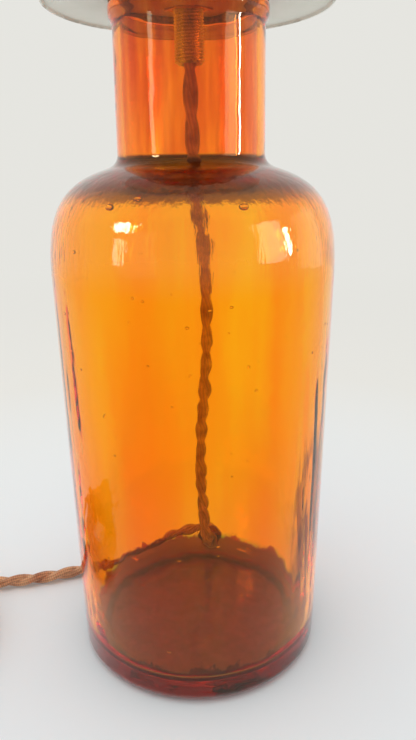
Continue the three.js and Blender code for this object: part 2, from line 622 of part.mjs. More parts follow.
function makeBulbGlass() {
  const z = (height) => bulbBottom + height;
  const neck = BULB_CAP_RADIUS - BULB_CAP_WALL - 0.4 - FIT_GAP;
  const flank = (inset, up) => {
    const curve = sweep(6, [neck - inset, z(BULB_CAP_TOP + 2)], [neck - inset + 1, z(BULB_CAP_TOP + 16)],
      [BULB_RADIUS - inset, z(BULB_WIDEST - 20)], [BULB_RADIUS - inset, z(BULB_WIDEST)]);
    return up ? curve : curve.reverse();
  };
  const outline = [
    ...arc(6, [0, z(BULB_WIDEST)], BULB_RADIUS - BULB_WALL, Math.PI / 2, 0),
    ...flank(BULB_WALL, false),
    ...line([neck - BULB_WALL, z(BULB_NECK_START)], [neck, z(BULB_NECK_START)]),
    ...flank(0, true),
    ...arc(6, [0, z(BULB_WIDEST)], BULB_RADIUS, 0, Math.PI / 2),
  ];
  outline[0].x = 0;
  outline.at(-1).x = 0;
  place("bulb_glass", turned(outline, MEDIUM_ROUND), "clearGlass");
  const flare = neck - BULB_WALL - FIT_GAP;
  const stem = [
    ...line([0, z(BULB_NECK_START - 2)], [flare, z(BULB_NECK_START - 2)], [flare, z(BULB_NECK_START - 1)]),
    ...bend(4, [flare - 1, z(BULB_NECK_START - 0.5)], [STEM_RADIUS, z(BULB_NECK_START)],
      [STEM_RADIUS, z(BULB_NECK_START + 9)]),
    ...line([STEM_RADIUS, z(STEM_SHOULDER)]),
    ...bend(3, [STEM_RADIUS, z(STEM_SHOULDER)], [STEM_POST_RADIUS, z(STEM_SHOULDER + 2)],
      [STEM_POST_RADIUS, z(STEM_SHOULDER + 6)]),
    ...bend(2, [STEM_POST_RADIUS, z(STEM_TOP - 1)], [STEM_POST_RADIUS, z(STEM_TOP)], [0, z(STEM_TOP)]),
  ];
  place("bulb_stem", turned(stem, SMALL_ROUND), "clearGlass");
}

function rodBetween(start, end, radius, round) {
  const run = new THREE.Vector3().subVectors(end, start);
  const upright = new THREE.Vector3(0, 1, 0);
  const turn = new THREE.Quaternion().setFromUnitVectors(upright, run.clone().normalize());
  const middle = new THREE.Vector3().addVectors(start, end).multiplyScalar(0.5);
  return new THREE.CylinderGeometry(radius, radius, run.length(), round)
    .applyQuaternion(turn)
    .translate(middle.x, middle.y, middle.z);
}

function makeFilaments() {
  const z = (height) => bulbBottom + height;
  const hubBore = STEM_POST_RADIUS + FIT_GAP;
  const hub = turned(
    line([hubBore, z(STICK_TOP - 1)], [hubBore + 1, z(STICK_TOP - 1)], [hubBore + 1, z(STICK_TOP + 1)],
      [hubBore, z(STICK_TOP + 1)]),
    12,
  );
  const rods = [];
  for (let i = 0; i < STICK_COUNT; i += 1) {
    const angle = (2 * Math.PI * (i + 0.5)) / STICK_COUNT;
    const at = (spread, height) =>
      new THREE.Vector3(spread * Math.cos(angle), spread * Math.sin(angle), z(height));
    const top = at(STICK_TOP_SPREAD, STICK_TOP);
    const bottom = at(STICK_BOTTOM_SPREAD, STICK_BOTTOM);
    rods.push(rodBetween(at(hubBore + 0.4, STICK_TOP), top, SUPPORT_RADIUS, WIRE_SIDES));
    rods.push(rodBetween(bottom, top, STICK_RADIUS, 8));
    rods.push(rodBetween(at(STEM_RADIUS + FIT_GAP, STICK_BOTTOM + 1), bottom, SUPPORT_RADIUS, WIRE_SIDES));
  }
  place("bulb_filaments", joined(hub, ...rods), "filament");
}

// The cord. Inside the bottle it hangs from the tube and leans back to the hole.
const onExitAxis = (radius, z = EXIT_HEIGHT) =>
  new THREE.Vector3(radius * Math.sin(EXIT_AZIMUTH), radius * Math.cos(EXIT_AZIMUTH), z);
const at = (x, y, z) => new THREE.Vector3(x, y, z);

function makeInnerCord() {
  const route = new THREE.CatmullRomCurve3([
    at(0, 0, tubeTop + 2.3),
    at(0, 0, tubeTop - 10),
    at(0, 0, tubeBottom + 10),
    at(0, 0, tubeBottom),
    at(0.1, 0.3, 208),
    at(0.4, 1.1, 196),
    at(0.9, 2.6, 182),
    at(2.2, 4.2, 168),
    at(3.8, 6.2, 155),
    at(4.5, 9.3, 137),
    at(4.4, 13, 119.5),
    at(3.1, 17.6, 99),
    at(1.6, 22, 81),
    at(0.8, 25.8, 65),
    at(0.8, 29.3, 49),
    at(1.6, 32.4, 34),
    at(2.6, 34.4, 23),
    at(3.4, 37.2, 15.4),
    onExitAxis(40.2, EXIT_HEIGHT + 1.2),
    onExitAxis(43.5),
    onExitAxis(bushOuterFace),
  ]);
  place("cord_inside", tubeAlong(route, CORD_DIAMETER, CORD_SIDES, 40), "clothCord");
}

// Outside it drops to the table behind the bottle and bears left to the coil.
const strapSpace = TIE_THICKNESS + SEAT_GAP + FIT_GAP;
const coilLowZ = cordRadius + strapSpace;
const coilLayerRise = CORD_DIAMETER + COIL_LAYER_GAP;
const coilPitch = CORD_DIAMETER + COIL_TURN_GAP;
const coilInnerRadius = COIL_OUTER_RADIUS - COIL_TURNS_PER_LAYER * coilPitch;
const coilTurns = 2 * COIL_TURNS_PER_LAYER + COIL_CLIMB_TURNS;

// The coil spirals in, climbs one layer in the half turn where it reverses, and spirals out on top.
function coilPoint(turn) {
  const climb = THREE.MathUtils.clamp((turn - COIL_TURNS_PER_LAYER) / COIL_CLIMB_TURNS, 0, 1);
  const inward = Math.min(turn, COIL_TURNS_PER_LAYER);
  const outward = Math.max(0, turn - COIL_TURNS_PER_LAYER - COIL_CLIMB_TURNS);
  const dip = COIL_CLIMB_DIP * Math.sin(Math.PI * climb);
  const radius = COIL_OUTER_RADIUS - coilPitch * (inward - outward) - dip;
  const angle = COIL_START_ANGLE + 2 * Math.PI * turn;
  const x = COIL_CENTRE.x + radius * Math.cos(angle);
  const y = COIL_CENTRE.y + radius * Math.sin(angle);
  return at(x, y, coilLowZ + coilLayerRise * THREE.MathUtils.smoothstep(climb, 0, 1));
}

// The direction of travel along the coil, level, at one of its ends.
function coilHeading(turn) {
  const angle = COIL_START_ANGLE + 2 * Math.PI * turn;
  return at(-Math.sin(angle), Math.cos(angle), 0);
}
const coilStart = coilPoint(0).addScaledVector(coilHeading(0), -CORD_DIAMETER);
const coilEnd = coilPoint(coilTurns).addScaledVector(coilHeading(coilTurns), CORD_DIAMETER);

function makeOuterCord() {
  const arrive = coilStart.clone().addScaledVector(coilHeading(0), -FIT_GAP);
  const route = new THREE.CatmullRomCurve3([
    onExitAxis(bushOuterFace + FIT_GAP),
    onExitAxis(55.2, 10.1),
    at(4.3, 61.2, 8.2),
    at(0.2, 65.4, 5.6),
    at(-6, 67, 3.6),
    at(-12.2, 65, 2.8),
    at(-19, 59.5, 2.8),
    at(-26, 52.5, 2.8),
    at(-33.5, 45.6, 2.8),
    at(-42, 39, 2.8),
    at(-52, 33, 2.8),
    at(-64, 28, 2.8),
    at(-78, 24, 2.9),
    at(-94, 21.4, 3),
    at(-108, 20.3, 3.4),
    arrive,
  ]);
  place("cord_outside", tubeAlong(route, CORD_DIAMETER, CORD_SIDES, 30), "clothCord");
}

function leastGap(points, reach) {
  let least = Infinity;
  for (let i = 0; i < points.length; i += 1) {
    for (let j = i + reach; j < points.length; j += 1) {
      least = Math.min(least, points[i].distanceTo(points[j]) - CORD_DIAMETER);
    }
  }
  return least;
}

function makeCoil() {
  const steps = Math.round(coilTurns * COIL_STEPS_PER_TURN);
  const turns = Array.from({ length: steps + 1 }, (_, i) => coilPoint((coilTurns * i) / steps));
  const route = new THREE.CatmullRomCurve3([coilStart, ...turns, coilEnd]);
  route.arcLengthDivisions = steps * 6;
  place("cord_coil", tubeAlong(route, CORD_DIAMETER, 6, steps + 2), "clothCord");
  const gap = leastGap(route.getSpacedPoints(steps * 3), COIL_STEPS_PER_TURN * 2);
  console.log(`coil: ${coilTurns} turns, ${route.getLength().toFixed(0)} mm of cord, least gap ${gap.toFixed(2)} mm`);
}

// A flat strap holds the coil's turns together on one side.
function makeTie() {
  const inner = coilInnerRadius - COIL_CLIMB_DIP - cordRadius - TIE_SLACK;
  const outer = COIL_OUTER_RADIUS + cordRadius + FIT_GAP;
  const bottom = coilLowZ - cordRadius - FIT_GAP;
  const top = coilLowZ + coilLayerRise + cordRadius + FIT_GAP;
  const box = (path, grow) => {
    const corner = 2 + grow;
    path.moveTo(inner - grow, bottom - grow + corner);
    path.quadraticCurveTo(inner - grow, bottom - grow, inner - grow + corner, bottom - grow);
    path.lineTo(outer + grow - corner, bottom - grow);
    path.quadraticCurveTo(outer + grow, bottom - grow, outer + grow, bottom - grow + corner);
    path.lineTo(outer + grow, top + grow - corner);
    path.quadraticCurveTo(outer + grow, top + grow, outer + grow - corner, top + grow);
    path.lineTo(inner - grow + corner, top + grow);
    path.quadraticCurveTo(inner - grow, top + grow, inner - grow, top + grow - corner);
    path.closePath();
    return path;
  };
  const shape = box(new THREE.Shape(), TIE_THICKNESS);
  shape.holes.push(box(new THREE.Path(), 0));
  const strap = raised(shape, TIE_WIDTH, { curveSegments: 3 }).rotateX(Math.PI / 2);
  strap.translate(0, TIE_WIDTH / 2, 0).rotateZ(TIE_ANGLE);
  place("coil_tie", strap.translate(COIL_CENTRE.x, COIL_CENTRE.y, 0), "darkRubber");
}

// The plug lies flat on the coil. The cord's last stretch leaves the upper layer, loops up and back over the
// coil, and meets the plug there. The plug group's +X points from the cord to the pins.
const plugHeight = coilLowZ + coilLayerRise + cordRadius + FIT_GAP + PLUG_THICKNESS / 2;
const plugHeading = at(0, -1, 0);
function makePlug() {
  const heading = coilHeading(coilTurns);
  const start = coilEnd.clone().addScaledVector(heading, FIT_GAP);
  const onCoil = (x, y, z) => at(COIL_CENTRE.x + x, COIL_CENTRE.y + y, z);
  const end = onCoil(0, 22.4, plugHeight);
  const tail = new THREE.CatmullRomCurve3([
    start,
    start.clone().addScaledVector(heading, CORD_DIAMETER),
    onCoil(26.1, 34.8, 11),
    onCoil(21, 39.9, 12.9),
    onCoil(14, 41.8, 15.2),
    onCoil(7, 39.9, 17.2),
    onCoil(1.9, 34.8, 18.7),
    end.clone().addScaledVector(plugHeading, -CORD_DIAMETER),
    end,
  ]);
  place("cord_tail", tubeAlong(tail, CORD_DIAMETER, CORD_SIDES, 12), "clothCord");
  const plug = new THREE.Group();
  const origin = end.clone().addScaledVector(plugHeading, FIT_GAP);
  plug.position.copy(origin);
  plug.rotation.z = Math.atan2(plugHeading.y, plugHeading.x);
  lamp.add(plug);
  const ribStep = RELIEF_LENGTH / (RELIEF_RIBS + 0.5);
  const radiusAt = (x) => THREE.MathUtils.mapLinear(x, 0, RELIEF_LENGTH, RELIEF_TIP_RADIUS, RELIEF_ROOT_RADIUS);
  const relief = [...line([0, 0], [radiusAt(0), 0])];
  for (let i = 1; i <= RELIEF_RIBS; i += 1) {
    const x = i * ribStep;
    relief.push(...line([radiusAt(x - 0.6), x - 0.6], [radiusAt(x) - RELIEF_GROOVE, x - 0.4]));
    relief.push(...line([radiusAt(x) - RELIEF_GROOVE, x + 0.4], [radiusAt(x + 0.6), x + 0.6]));
  }
  relief.push(...line([RELIEF_ROOT_RADIUS, RELIEF_LENGTH], [0, RELIEF_LENGTH]));
  place("plug_relief", turnedAlongX(relief, 12), "darkRubber", plug);
  const half = PLUG_WIDTH / 2;
  const back = RELIEF_LENGTH + FIT_GAP;
  const front = back + PLUG_LENGTH;
  const outline = new THREE.Shape();
  outline.moveTo(back, -RELIEF_ROOT_RADIUS - 1);
  outline.quadraticCurveTo(back + 10, -RELIEF_ROOT_RADIUS - 3, back + PLUG_LENGTH * 0.5, -half);
  outline.lineTo(front, -half);
  outline.lineTo(front, half);
  outline.lineTo(back + PLUG_LENGTH * 0.5, half);
  outline.quadraticCurveTo(back + 10, RELIEF_ROOT_RADIUS + 3, back, RELIEF_ROOT_RADIUS + 1);
  outline.closePath();
  const body = raised(outline, PLUG_THICKNESS - 2 * PLUG_ROUND, {
    bevelEnabled: true, bevelSize: PLUG_ROUND, bevelThickness: PLUG_ROUND, bevelOffset: -PLUG_ROUND, bevelSegments: 3,
  });
  place("plug_body", body.translate(0, 0, PLUG_ROUND - PLUG_THICKNESS / 2), "darkPlastic", plug);
  const sleeve = PIN_RADIUS - PIN_SLEEVE_STEP;
  const pin = [
    ...line([0, 0], [sleeve, 0], [sleeve, PIN_SLEEVE_LENGTH], [PIN_RADIUS, PIN_SLEEVE_LENGTH + 0.2]),
    ...bend(3, [PIN_RADIUS, PIN_LENGTH - PIN_RADIUS], [PIN_RADIUS, PIN_LENGTH], [0, PIN_LENGTH]),
  ];
  for (const [name, side] of [["left", 1], ["right", -1]]) {
    const geometry = turnedAlongX(pin, 12).translate(front + FIT_GAP, (side * PIN_SPACING) / 2, 0);
    place(`plug_pin_${name}`, geometry, "nickel", plug);
  }
}

makeBottle();
makeBush();
makeCorkRing();
makePlate();
makeTube();
makeClampRings();
makeCup();
makeShell();
makeSleeve();
makeInsert();
makeTerminals();
makeContacts();
makeKnob();
makeBulbBase();
makeBulbGlass();
makeFilaments();
makeInnerCord();
makeOuterCord();
makeCoil();
makeTie();
makePlug();

export default lamp;
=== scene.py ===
# %% [markdown]
# # A table lamp made from an amber glass bottle
# The solids of the lamp are already made, in metres, with the bottle standing on the origin. This lesson
# dresses them: the smooth blown glass, the twisted cloth cord, the screw thread and the worn finishes
# that a plain solid can't show. We load the solids first and remember their box, so that the dressed
# lamp can be compared with it at the end.

import math
import random

import bmesh
import bpy
from mathutils import Matrix, Vector, geometry, noise


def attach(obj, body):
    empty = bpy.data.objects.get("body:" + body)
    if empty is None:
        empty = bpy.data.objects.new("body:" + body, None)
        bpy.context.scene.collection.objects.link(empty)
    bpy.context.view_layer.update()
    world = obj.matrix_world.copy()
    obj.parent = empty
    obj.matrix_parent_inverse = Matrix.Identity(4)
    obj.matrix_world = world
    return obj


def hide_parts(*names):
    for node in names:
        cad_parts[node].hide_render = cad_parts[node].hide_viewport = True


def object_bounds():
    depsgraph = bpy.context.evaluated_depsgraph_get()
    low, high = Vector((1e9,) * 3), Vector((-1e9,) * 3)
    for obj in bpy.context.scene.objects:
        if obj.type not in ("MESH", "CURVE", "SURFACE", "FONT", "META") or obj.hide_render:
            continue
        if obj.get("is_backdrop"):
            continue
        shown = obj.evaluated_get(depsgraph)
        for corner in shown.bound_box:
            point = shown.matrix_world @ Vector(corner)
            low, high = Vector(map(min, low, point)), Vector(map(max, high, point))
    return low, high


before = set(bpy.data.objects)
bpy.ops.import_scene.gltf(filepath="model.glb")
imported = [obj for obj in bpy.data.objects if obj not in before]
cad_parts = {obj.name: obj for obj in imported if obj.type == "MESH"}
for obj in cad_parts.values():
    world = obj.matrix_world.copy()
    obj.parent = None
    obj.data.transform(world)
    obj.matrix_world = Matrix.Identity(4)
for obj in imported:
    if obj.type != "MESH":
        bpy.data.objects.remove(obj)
solid_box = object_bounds()
scene = bpy.context.scene
scene.view_settings.view_transform = "Standard"
print("solids:", len(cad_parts), "box:", [round(v, 4) for corner in solid_box for v in corner])

# %% [markdown]
# ## Camera
# The picture was taken from close in front, a little above the bottle and looking down. The lens is set
# from the focal length in pixels, which fits the bottle's outline and the ten-millimetre tube in its
# neck. A camera looks along its own -Z, so it is tipped up from straight down, and then rolled a little.

# %% Place the camera
PICTURE_HEIGHT = 740
FOCAL_PIXELS = 633.1
LOOK_DOWN = 17.3
ROLL = -0.72
CAMERA_PLACE = (0.00478, -0.2291, 0.1825)


def add_object(name, data):
    made = bpy.data.objects.new(name, data)
    scene.collection.objects.link(made)
    return made


camera_data = bpy.data.cameras.new("picture_camera")
camera_data.sensor_width = 36.0
camera_data.lens = FOCAL_PIXELS / PICTURE_HEIGHT * camera_data.sensor_width
camera_data.clip_start = 0.01
camera = add_object("picture_camera", camera_data)
tilt = Matrix.Rotation(math.radians(90 - LOOK_DOWN), 4, "X") @ Matrix.Rotation(math.radians(ROLL), 4, "Z")
camera.matrix_world = Matrix.Translation(CAMERA_PLACE) @ tilt
scene.camera = camera
print("lens:", round(camera_data.lens, 2), "mm")

# %% [markdown]
# ## Helpers for nodes
# Every finish below is a small tree of nodes. A few helpers keep the trees readable: one adds a node,
# sets its values and links what is handed to it, one starts a material and gives back its tree and its
# shader, and one feeds the shader's sockets.


# %% Node helpers
def add_node(tree, kind, inputs=None, **properties):
    made = tree.nodes.new(kind)
    for name, value in properties.items():
        setattr(made, name, value)
    for name, value in (inputs or {}).items():
        socket = made.inputs[name]
        if isinstance(value, bpy.types.NodeSocket):
            tree.links.new(value, socket)
        else:
            socket.default_value = value
    return made


def math_node(tree, operation, first, second=0.0):
    return add_node(tree, "ShaderNodeMath", {0: first, 1: second}, operation=operation).outputs[0]


def start_material(name, **values):
    material = bpy.data.materials.new(name)
    material.use_nodes = True
    shader = material.node_tree.nodes["Principled BSDF"]
    for socket, value in values.items():
        shader.inputs[socket.replace("_", " ")].default_value = value
    return material, material.node_tree, shader


def feed(shader, **sources):
    for socket, source in sources.items():
        shader.id_data.links.new(source, shader.inputs[socket.replace("_", " ")])


# %% [markdown]
# ## Room
# The bottle stands on a white table in front of a white wall, in daylight from the two sides. A wall
# would hide the lamp from behind, so the world itself is the wall: one colour lights the lamp, the
# camera and reflections see a second, and glass sees a third, almost pure white. The table fades into
# the second, so no edge shows.

# %% World and wall
WALL = (0.79, 0.785, 0.745, 1)
BEHIND_GLASS = (1, 1, 0.98, 1)
DAYLIGHT = (1, 0.99, 0.97, 1)
DAYLIGHT_STRENGTH = 0.86
world = bpy.data.worlds.new("white_room")
scene.world = world
world.use_nodes = True
tree = world.node_tree
tree.nodes.clear()


def glow(kind, colour, strength=1.0):
    return add_node(tree, kind, {"Color": colour, "Strength": strength}).outputs[0]


def mix_shaders(share, first, second):
    return add_node(tree, "ShaderNodeMixShader", {0: share, 1: first, 2: second}).outputs[0]


rays = add_node(tree, "ShaderNodeLightPath").outputs
seen = math_node(tree, "MAXIMUM", rays["Is Camera Ray"], rays["Is Glossy Ray"])
light = glow("ShaderNodeBackground", DAYLIGHT, DAYLIGHT_STRENGTH)
room = mix_shaders(seen, light, glow("ShaderNodeBackground", WALL))
room = mix_shaders(rays["Is Transmission Ray"], room, glow("ShaderNodeBackground", BEHIND_GLASS))
add_node(tree, "ShaderNodeOutputWorld", {"Surface": room})
print("world nodes:", len(tree.nodes))

# %% [markdown]
# The table is one round face, a hair below the bottle so that the two don't flicker. Near the lamp its tone
# is painted cooler, to offset the amber light that the glass throws on it, and it warms with the distance.
# Two more helpers serve it and most finishes below: one spreads a value between two limits, and one turns a
# value into a colour between two tones.


# %% Tone helpers
def spread(tree, value, start, full, low=0.0, high=1.0, easing="LINEAR"):
    limits = {"Value": value, "From Min": start, "From Max": full, "To Min": low, "To Max": high}
    return add_node(tree, "ShaderNodeMapRange", limits, interpolation_type=easing).outputs[0]


def two_tone(tree, value, low, high, start, end):
    ramp = add_node(tree, "ShaderNodeValToRGB", {0: value})
    for step, position, colour in zip(ramp.color_ramp.elements, (start, end), (low, high)):
        step.position, step.color = position, (*colour, 1)
    return ramp.outputs[0]


def object_place(tree):
    return add_node(tree, "ShaderNodeTexCoord").outputs["Object"]


# %% Table
TABLE_RADIUS = 4.0
TABLE_DROP = 0.0003
TONE_CHANGE = (0.1, 0.35)
FADE_TO_WALL = (0.25, 1.1)
BESIDE_BOTTLE = (0.044, 0.056)


def make_mesh(name, bm):
    mesh = bpy.data.meshes.new(name)
    bm.to_mesh(mesh)
    bm.free()
    return mesh


def shift(bm, vec):
    bmesh.ops.translate(bm, verts=bm.verts, vec=vec)


bm = bmesh.new()
bmesh.ops.create_circle(bm, cap_ends=True, segments=64, radius=TABLE_RADIUS)
shift(bm, (0, 0, -TABLE_DROP))
table = add_object("table", make_mesh("table", bm))
table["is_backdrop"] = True

material, tree, shader = start_material("white_table", Roughness=0.9, Specular_IOR_Level=0.0)
reach = add_node(tree, "ShaderNodeVectorMath", {0: object_place(tree)}, operation="LENGTH").outputs["Value"]
# Painted light: the table is bluer near the lamp, to cancel the amber light thrown on it by the glass.
feed(shader, Base_Color=two_tone(tree, reach, (0.82, 0.87, 0.90), (0.80, 0.80, 0.77), *TONE_CHANGE))
far = spread(tree, reach, *FADE_TO_WALL, easing="SMOOTHSTEP")
surface = mix_shaders(far, shader.outputs[0], glow("ShaderNodeEmission", WALL))
# Painted light: seen through the glass, the table beside the bottle glows white, while under the bottle it
# keeps its shadow.
beside = spread(tree, reach, *BESIDE_BOTTLE, high=0.85)
through = add_node(tree, "ShaderNodeLightPath").outputs["Is Transmission Ray"]
clear = math_node(tree, "MULTIPLY", through, beside)
surface = mix_shaders(clear, surface, glow("ShaderNodeEmission", BEHIND_GLASS))
feed(tree.nodes["Material Output"], Surface=surface)
table.data.materials.append(material)
print("table:", len(table.data.polygons), "face")

# %% [markdown]
# The windows are small area lights. Each is placed by the direction in which the bottle's shoulder
# mirrors it towards the camera: so many degrees round from the camera's side, and so many above the
# table. Only shiny surfaces see them, and the soft light overhead does the rest.

# %% Windows
WINDOW_DISTANCE = 1.5
LAMP_MIDDLE = Vector((0, 0, 0.16))


def add_window(name, round_from_camera, above_table, width, height, watts):
    around, above = math.radians(round_from_camera), math.radians(above_table)
    level = math.cos(above)
    outward = Vector((math.sin(around) * level, -math.cos(around) * level, math.sin(above)))
    data = bpy.data.lights.new(name, "AREA")
    data.shape = "RECTANGLE"
    data.size, data.size_y = width, height
    data.energy = watts
    window = add_object(name, data)
    window.location = LAMP_MIDDLE + outward * WINDOW_DISTANCE
    window.rotation_mode = "QUATERNION"
    window.rotation_quaternion = (-outward).to_track_quat("-Z", "Y")
    print(f"{name}: {watts} W at", [round(v, 2) for v in window.location])
    return window


for pane in (
    add_window("left_window", -57, 27, 0.34, 0.24, 7),
    add_window("left_sill", -57, 7, 0.18, 0.42, 1.3),
    add_window("left_curtain", -42, 9, 0.80, 0.90, 0.7),
    add_window("right_curtain", 64, 14, 0.55, 0.80, 4.5),
    add_window("right_window", 79, 10, 0.07, 0.50, 6),
    add_window("right_wall", 104, 9, 0.80, 0.90, 1.1),
):
    pane.visible_diffuse = False
sky = add_window("soft_sky", -35, 76, 1.3, 1.3, 5.8)
sky.visible_glossy = sky.visible_transmission = False

# %% [markdown]
# ## Pieces
# A finished piece sits at the origin with its place in its mesh, rides on a body of the lamp, and stands
# for the plain solid that it replaces. One helper does all of that, smooths the faces, and keeps real
# edges sharp.

# %% Finish a piece
MM = 0.001
TURN = 2 * math.pi
SHARP_EDGE = 35


def smooth_faces(mesh, sharp=SHARP_EDGE):
    mesh.shade_smooth()
    mesh.set_sharp_from_angle(angle=math.radians(sharp))


def finish_piece(name, bm, material, body, slot, *solids, sharp=SHARP_EDGE):
    mesh = make_mesh(name, bm)
    smooth_faces(mesh, sharp)
    mesh.materials.append(material)
    piece = add_object(name, mesh)
    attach(piece, body)
    if solids:
        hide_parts(*solids)
    print(f"{name}: {len(mesh.polygons)} faces")
    return piece


# %% [markdown]
# ## Turned pieces
# Most of the lamp is round, so most pieces start as an outline that is spun about the middle. Outlines
# are written in millimetres as radius and height. A full spin needs use_merge, and the points on the
# axis are merged afterwards, so that the poles are closed before the normals are turned outwards.


# %% Outline helpers
def bezier(count, start, leave, arrive, end):
    handles = [Vector((*p, 0)) for p in (start, leave, arrive, end)]
    return [(p.x, p.y) for p in geometry.interpolate_bezier(*handles, count)]


def bend(count, start, corner, end):
    start, corner, end = Vector(start), Vector(corner), Vector(end)
    return bezier(count, start, start.lerp(corner, 2 / 3), end.lerp(corner, 2 / 3), end)


def arc(count, centre, radius, first, last):
    angles = [math.radians(first + (last - first) * i / (count - 1)) for i in range(count)]
    return [(centre[0] + radius * math.cos(a), centre[1] + radius * math.sin(a)) for a in angles]


def straight(count, start, end):
    return [tuple(Vector(start).lerp(Vector(end), i / count)) for i in range(1, count)]


# %% Spin and soften
def spin_outline(outline, steps=96):
    bm = bmesh.new()
    points = [bm.verts.new((r * MM, 0, z * MM)) for r, z in outline]
    edges = [bm.edges.new(pair) for pair in zip(points, points[1:])]
    if outline[0][0] or outline[-1][0]:
        edges.append(bm.edges.new((points[-1], points[0])))
    whole = points + edges
    bmesh.ops.spin(bm, geom=whole, cent=(0, 0, 0), axis=(0, 0, 1), angle=TURN, steps=steps, use_merge=True)
    bmesh.ops.remove_doubles(bm, verts=bm.verts, dist=1e-6)
    bmesh.ops.recalc_face_normals(bm, faces=bm.faces)
    return bm


def soften(bm, width, angle, segments=2):
    sharp = [e for e in bm.edges if e.is_manifold and e.calc_face_angle() > math.radians(angle)]
    bmesh.ops.bevel(
        bm, geom=sharp, offset=width * MM, offset_type="OFFSET", affect="EDGES", segments=segments,
        profile=0.5, material=-1, clamp_overlap=True,
    )


# %% [markdown]
# Fluted and six-sided pieces start as a circle whose points are moved in or out, and which is then
# raised like a pastry cutter. A bore is a second circle, bridged to the first. Holes and slots are cut
# with a Boolean modifier, and the result is kept as the piece's mesh.


# %% Raised outlines
def points_of(grown):
    return [v for v in grown if isinstance(v, bmesh.types.BMVert)]


def raise_faces(bm, faces, height):
    grown = bmesh.ops.extrude_face_region(bm, geom=faces)["geom"]
    bmesh.ops.translate(bm, verts=points_of(grown), vec=(0, 0, height * MM))


def raise_outline(reach, count, bottom, top, bore=0.0):
    bm = bmesh.new()
    rim = bmesh.ops.create_circle(bm, cap_ends=not bore, segments=count, radius=MM)["verts"]
    for v in rim:
        v.co *= reach(math.atan2(v.co.y, v.co.x))
    if bore:
        bmesh.ops.create_circle(bm, cap_ends=False, segments=count, radius=bore * MM)
        bmesh.ops.bridge_loops(bm, edges=bm.edges[:])
    shift(bm, (0, 0, bottom * MM))
    raise_faces(bm, bm.faces[:], top - bottom)
    bmesh.ops.recalc_face_normals(bm, faces=bm.faces)
    return bm


# %% Cuts
def cut_away(piece, bm):
    tool = add_object("cutter", make_mesh("cutter", bm))
    cutter = piece.modifiers.new("cut", "BOOLEAN")
    cutter.object = tool
    cutter.solver = "EXACT"
    bpy.context.view_layer.update()
    graph = bpy.context.evaluated_depsgraph_get()
    trimmed = bpy.data.meshes.new_from_object(piece.evaluated_get(graph))
    piece.modifiers.clear()
    piece.data = trimmed
    bpy.data.objects.remove(tool)
    smooth_faces(trimmed)
    print(f"{piece.name} after its cut: {len(trimmed.polygons)} faces")


def rod(radius, start, end, sides=24):
    bm = bmesh.new()
    start, end = Vector(start) * MM, Vector(end) * MM
    run = end - start
    bmesh.ops.create_cone(
        bm, cap_ends=True, segments=sides, radius1=radius * MM, radius2=radius * MM, depth=run.length
    )
    turn = run.to_track_quat("Z", "Y").to_matrix()
    bmesh.ops.rotate(bm, verts=bm.verts, cent=(0, 0, 0), matrix=turn)
    shift(bm, (start + end) / 2)
    return bm


def block(size, middle):
    bm = bmesh.new()
    bmesh.ops.create_cube(bm, size=MM)
    bmesh.ops.scale(bm, vec=size, verts=bm.verts)
    shift(bm, Vector(middle) * MM)
    return bm


def lay_down(bm, axis, angle):
    turn = Matrix.Rotation(math.radians(angle), 3, axis)
    bmesh.ops.rotate(bm, verts=bm.verts, cent=(0, 0, 0), matrix=turn)


# %% [markdown]
# ## The cord's route
# The cord is a pair of cloth-covered strands twisted together. Its middle line follows the same points
# as the solids: down the tube, through the bottle to the hole, then over the table to a coil. A smooth
# curve through given points is made stretch by stretch: each stretch has two handles, which follow the
# points on either side of it.


# %% Smooth line through points
def smooth_line(points, step=2.0 * MM):
    points = [Vector(p) for p in points]
    line = []
    for i in range(len(points) - 1):
        before = points[max(i - 1, 0)]
        start, end = points[i], points[i + 1]
        after = points[min(i + 2, len(points) - 1)]
        length = (end - start).length
        handles = [pull.normalized() * length / 3 for pull in (end - before, after - start)]
        count = max(2, round(length / step) + 1)
        line += geometry.interpolate_bezier(start, start + handles[0], end - handles[1], end, count)[:-1]
    return line + [points[-1]]


def line_length(line):
    return sum((b - a).length for a, b in zip(line, line[1:]))


# %% Cord inside the bottle
CORD_DIAMETER = 5.4 * MM
EXIT_HEIGHT = 10.5 * MM
EXIT_AZIMUTH = 6
EXIT_DIRECTION = Vector((math.sin(math.radians(EXIT_AZIMUTH)), math.cos(math.radians(EXIT_AZIMUTH)), 0))


def on_exit(radius, z=EXIT_HEIGHT):
    return EXIT_DIRECTION * radius * MM + Vector((0, 0, z))


inside_points = [
    (0, 0, 0.2510), (0, 0, 0.2387), (0, 0, 0.2265), (0, 0, 0.2165), (0.0001, 0.0003, 0.208),
    (0.0004, 0.0011, 0.196), (0.0009, 0.0026, 0.182), (0.0022, 0.0042, 0.168), (0.0038, 0.0062, 0.155),
    (0.0045, 0.0093, 0.137), (0.0044, 0.013, 0.1195), (0.0031, 0.0176, 0.099), (0.0016, 0.022, 0.081),
    (0.0008, 0.0258, 0.065), (0.0008, 0.0293, 0.049), (0.0016, 0.0324, 0.034), (0.0026, 0.0344, 0.023),
    (0.0034, 0.0372, 0.0154), on_exit(40.2, 0.0117), on_exit(43.5), on_exit(50.16),
]
inside_line = smooth_line(inside_points)
print("cord inside the bottle:", round(line_length(inside_line), 3), "m")

# %% [markdown]
# The picture shows the cord only inside the bottle, so the rest of a table lamp's usual length is put
# away in a coil beside it, outside the picture. The coil spirals in on the table, climbs one layer in
# half a turn, and spirals out on top of itself.

# %% Coil
COIL_CENTRE = Vector((-0.128, -0.020, 0))
COIL_RADIUS = 40 * MM
COIL_PITCH = 6.0 * MM
COIL_LAYER_TURNS = 19 / 6
COIL_CLIMB_TURNS = 0.5
COIL_CLIMB_DIP = 1.2 * MM
COIL_START = 0.25
COIL_LOW = 3.7 * MM
COIL_RISE = 5.9 * MM
COIL_TURNS = 2 * COIL_LAYER_TURNS + COIL_CLIMB_TURNS
COIL_STEPS_PER_TURN = 60


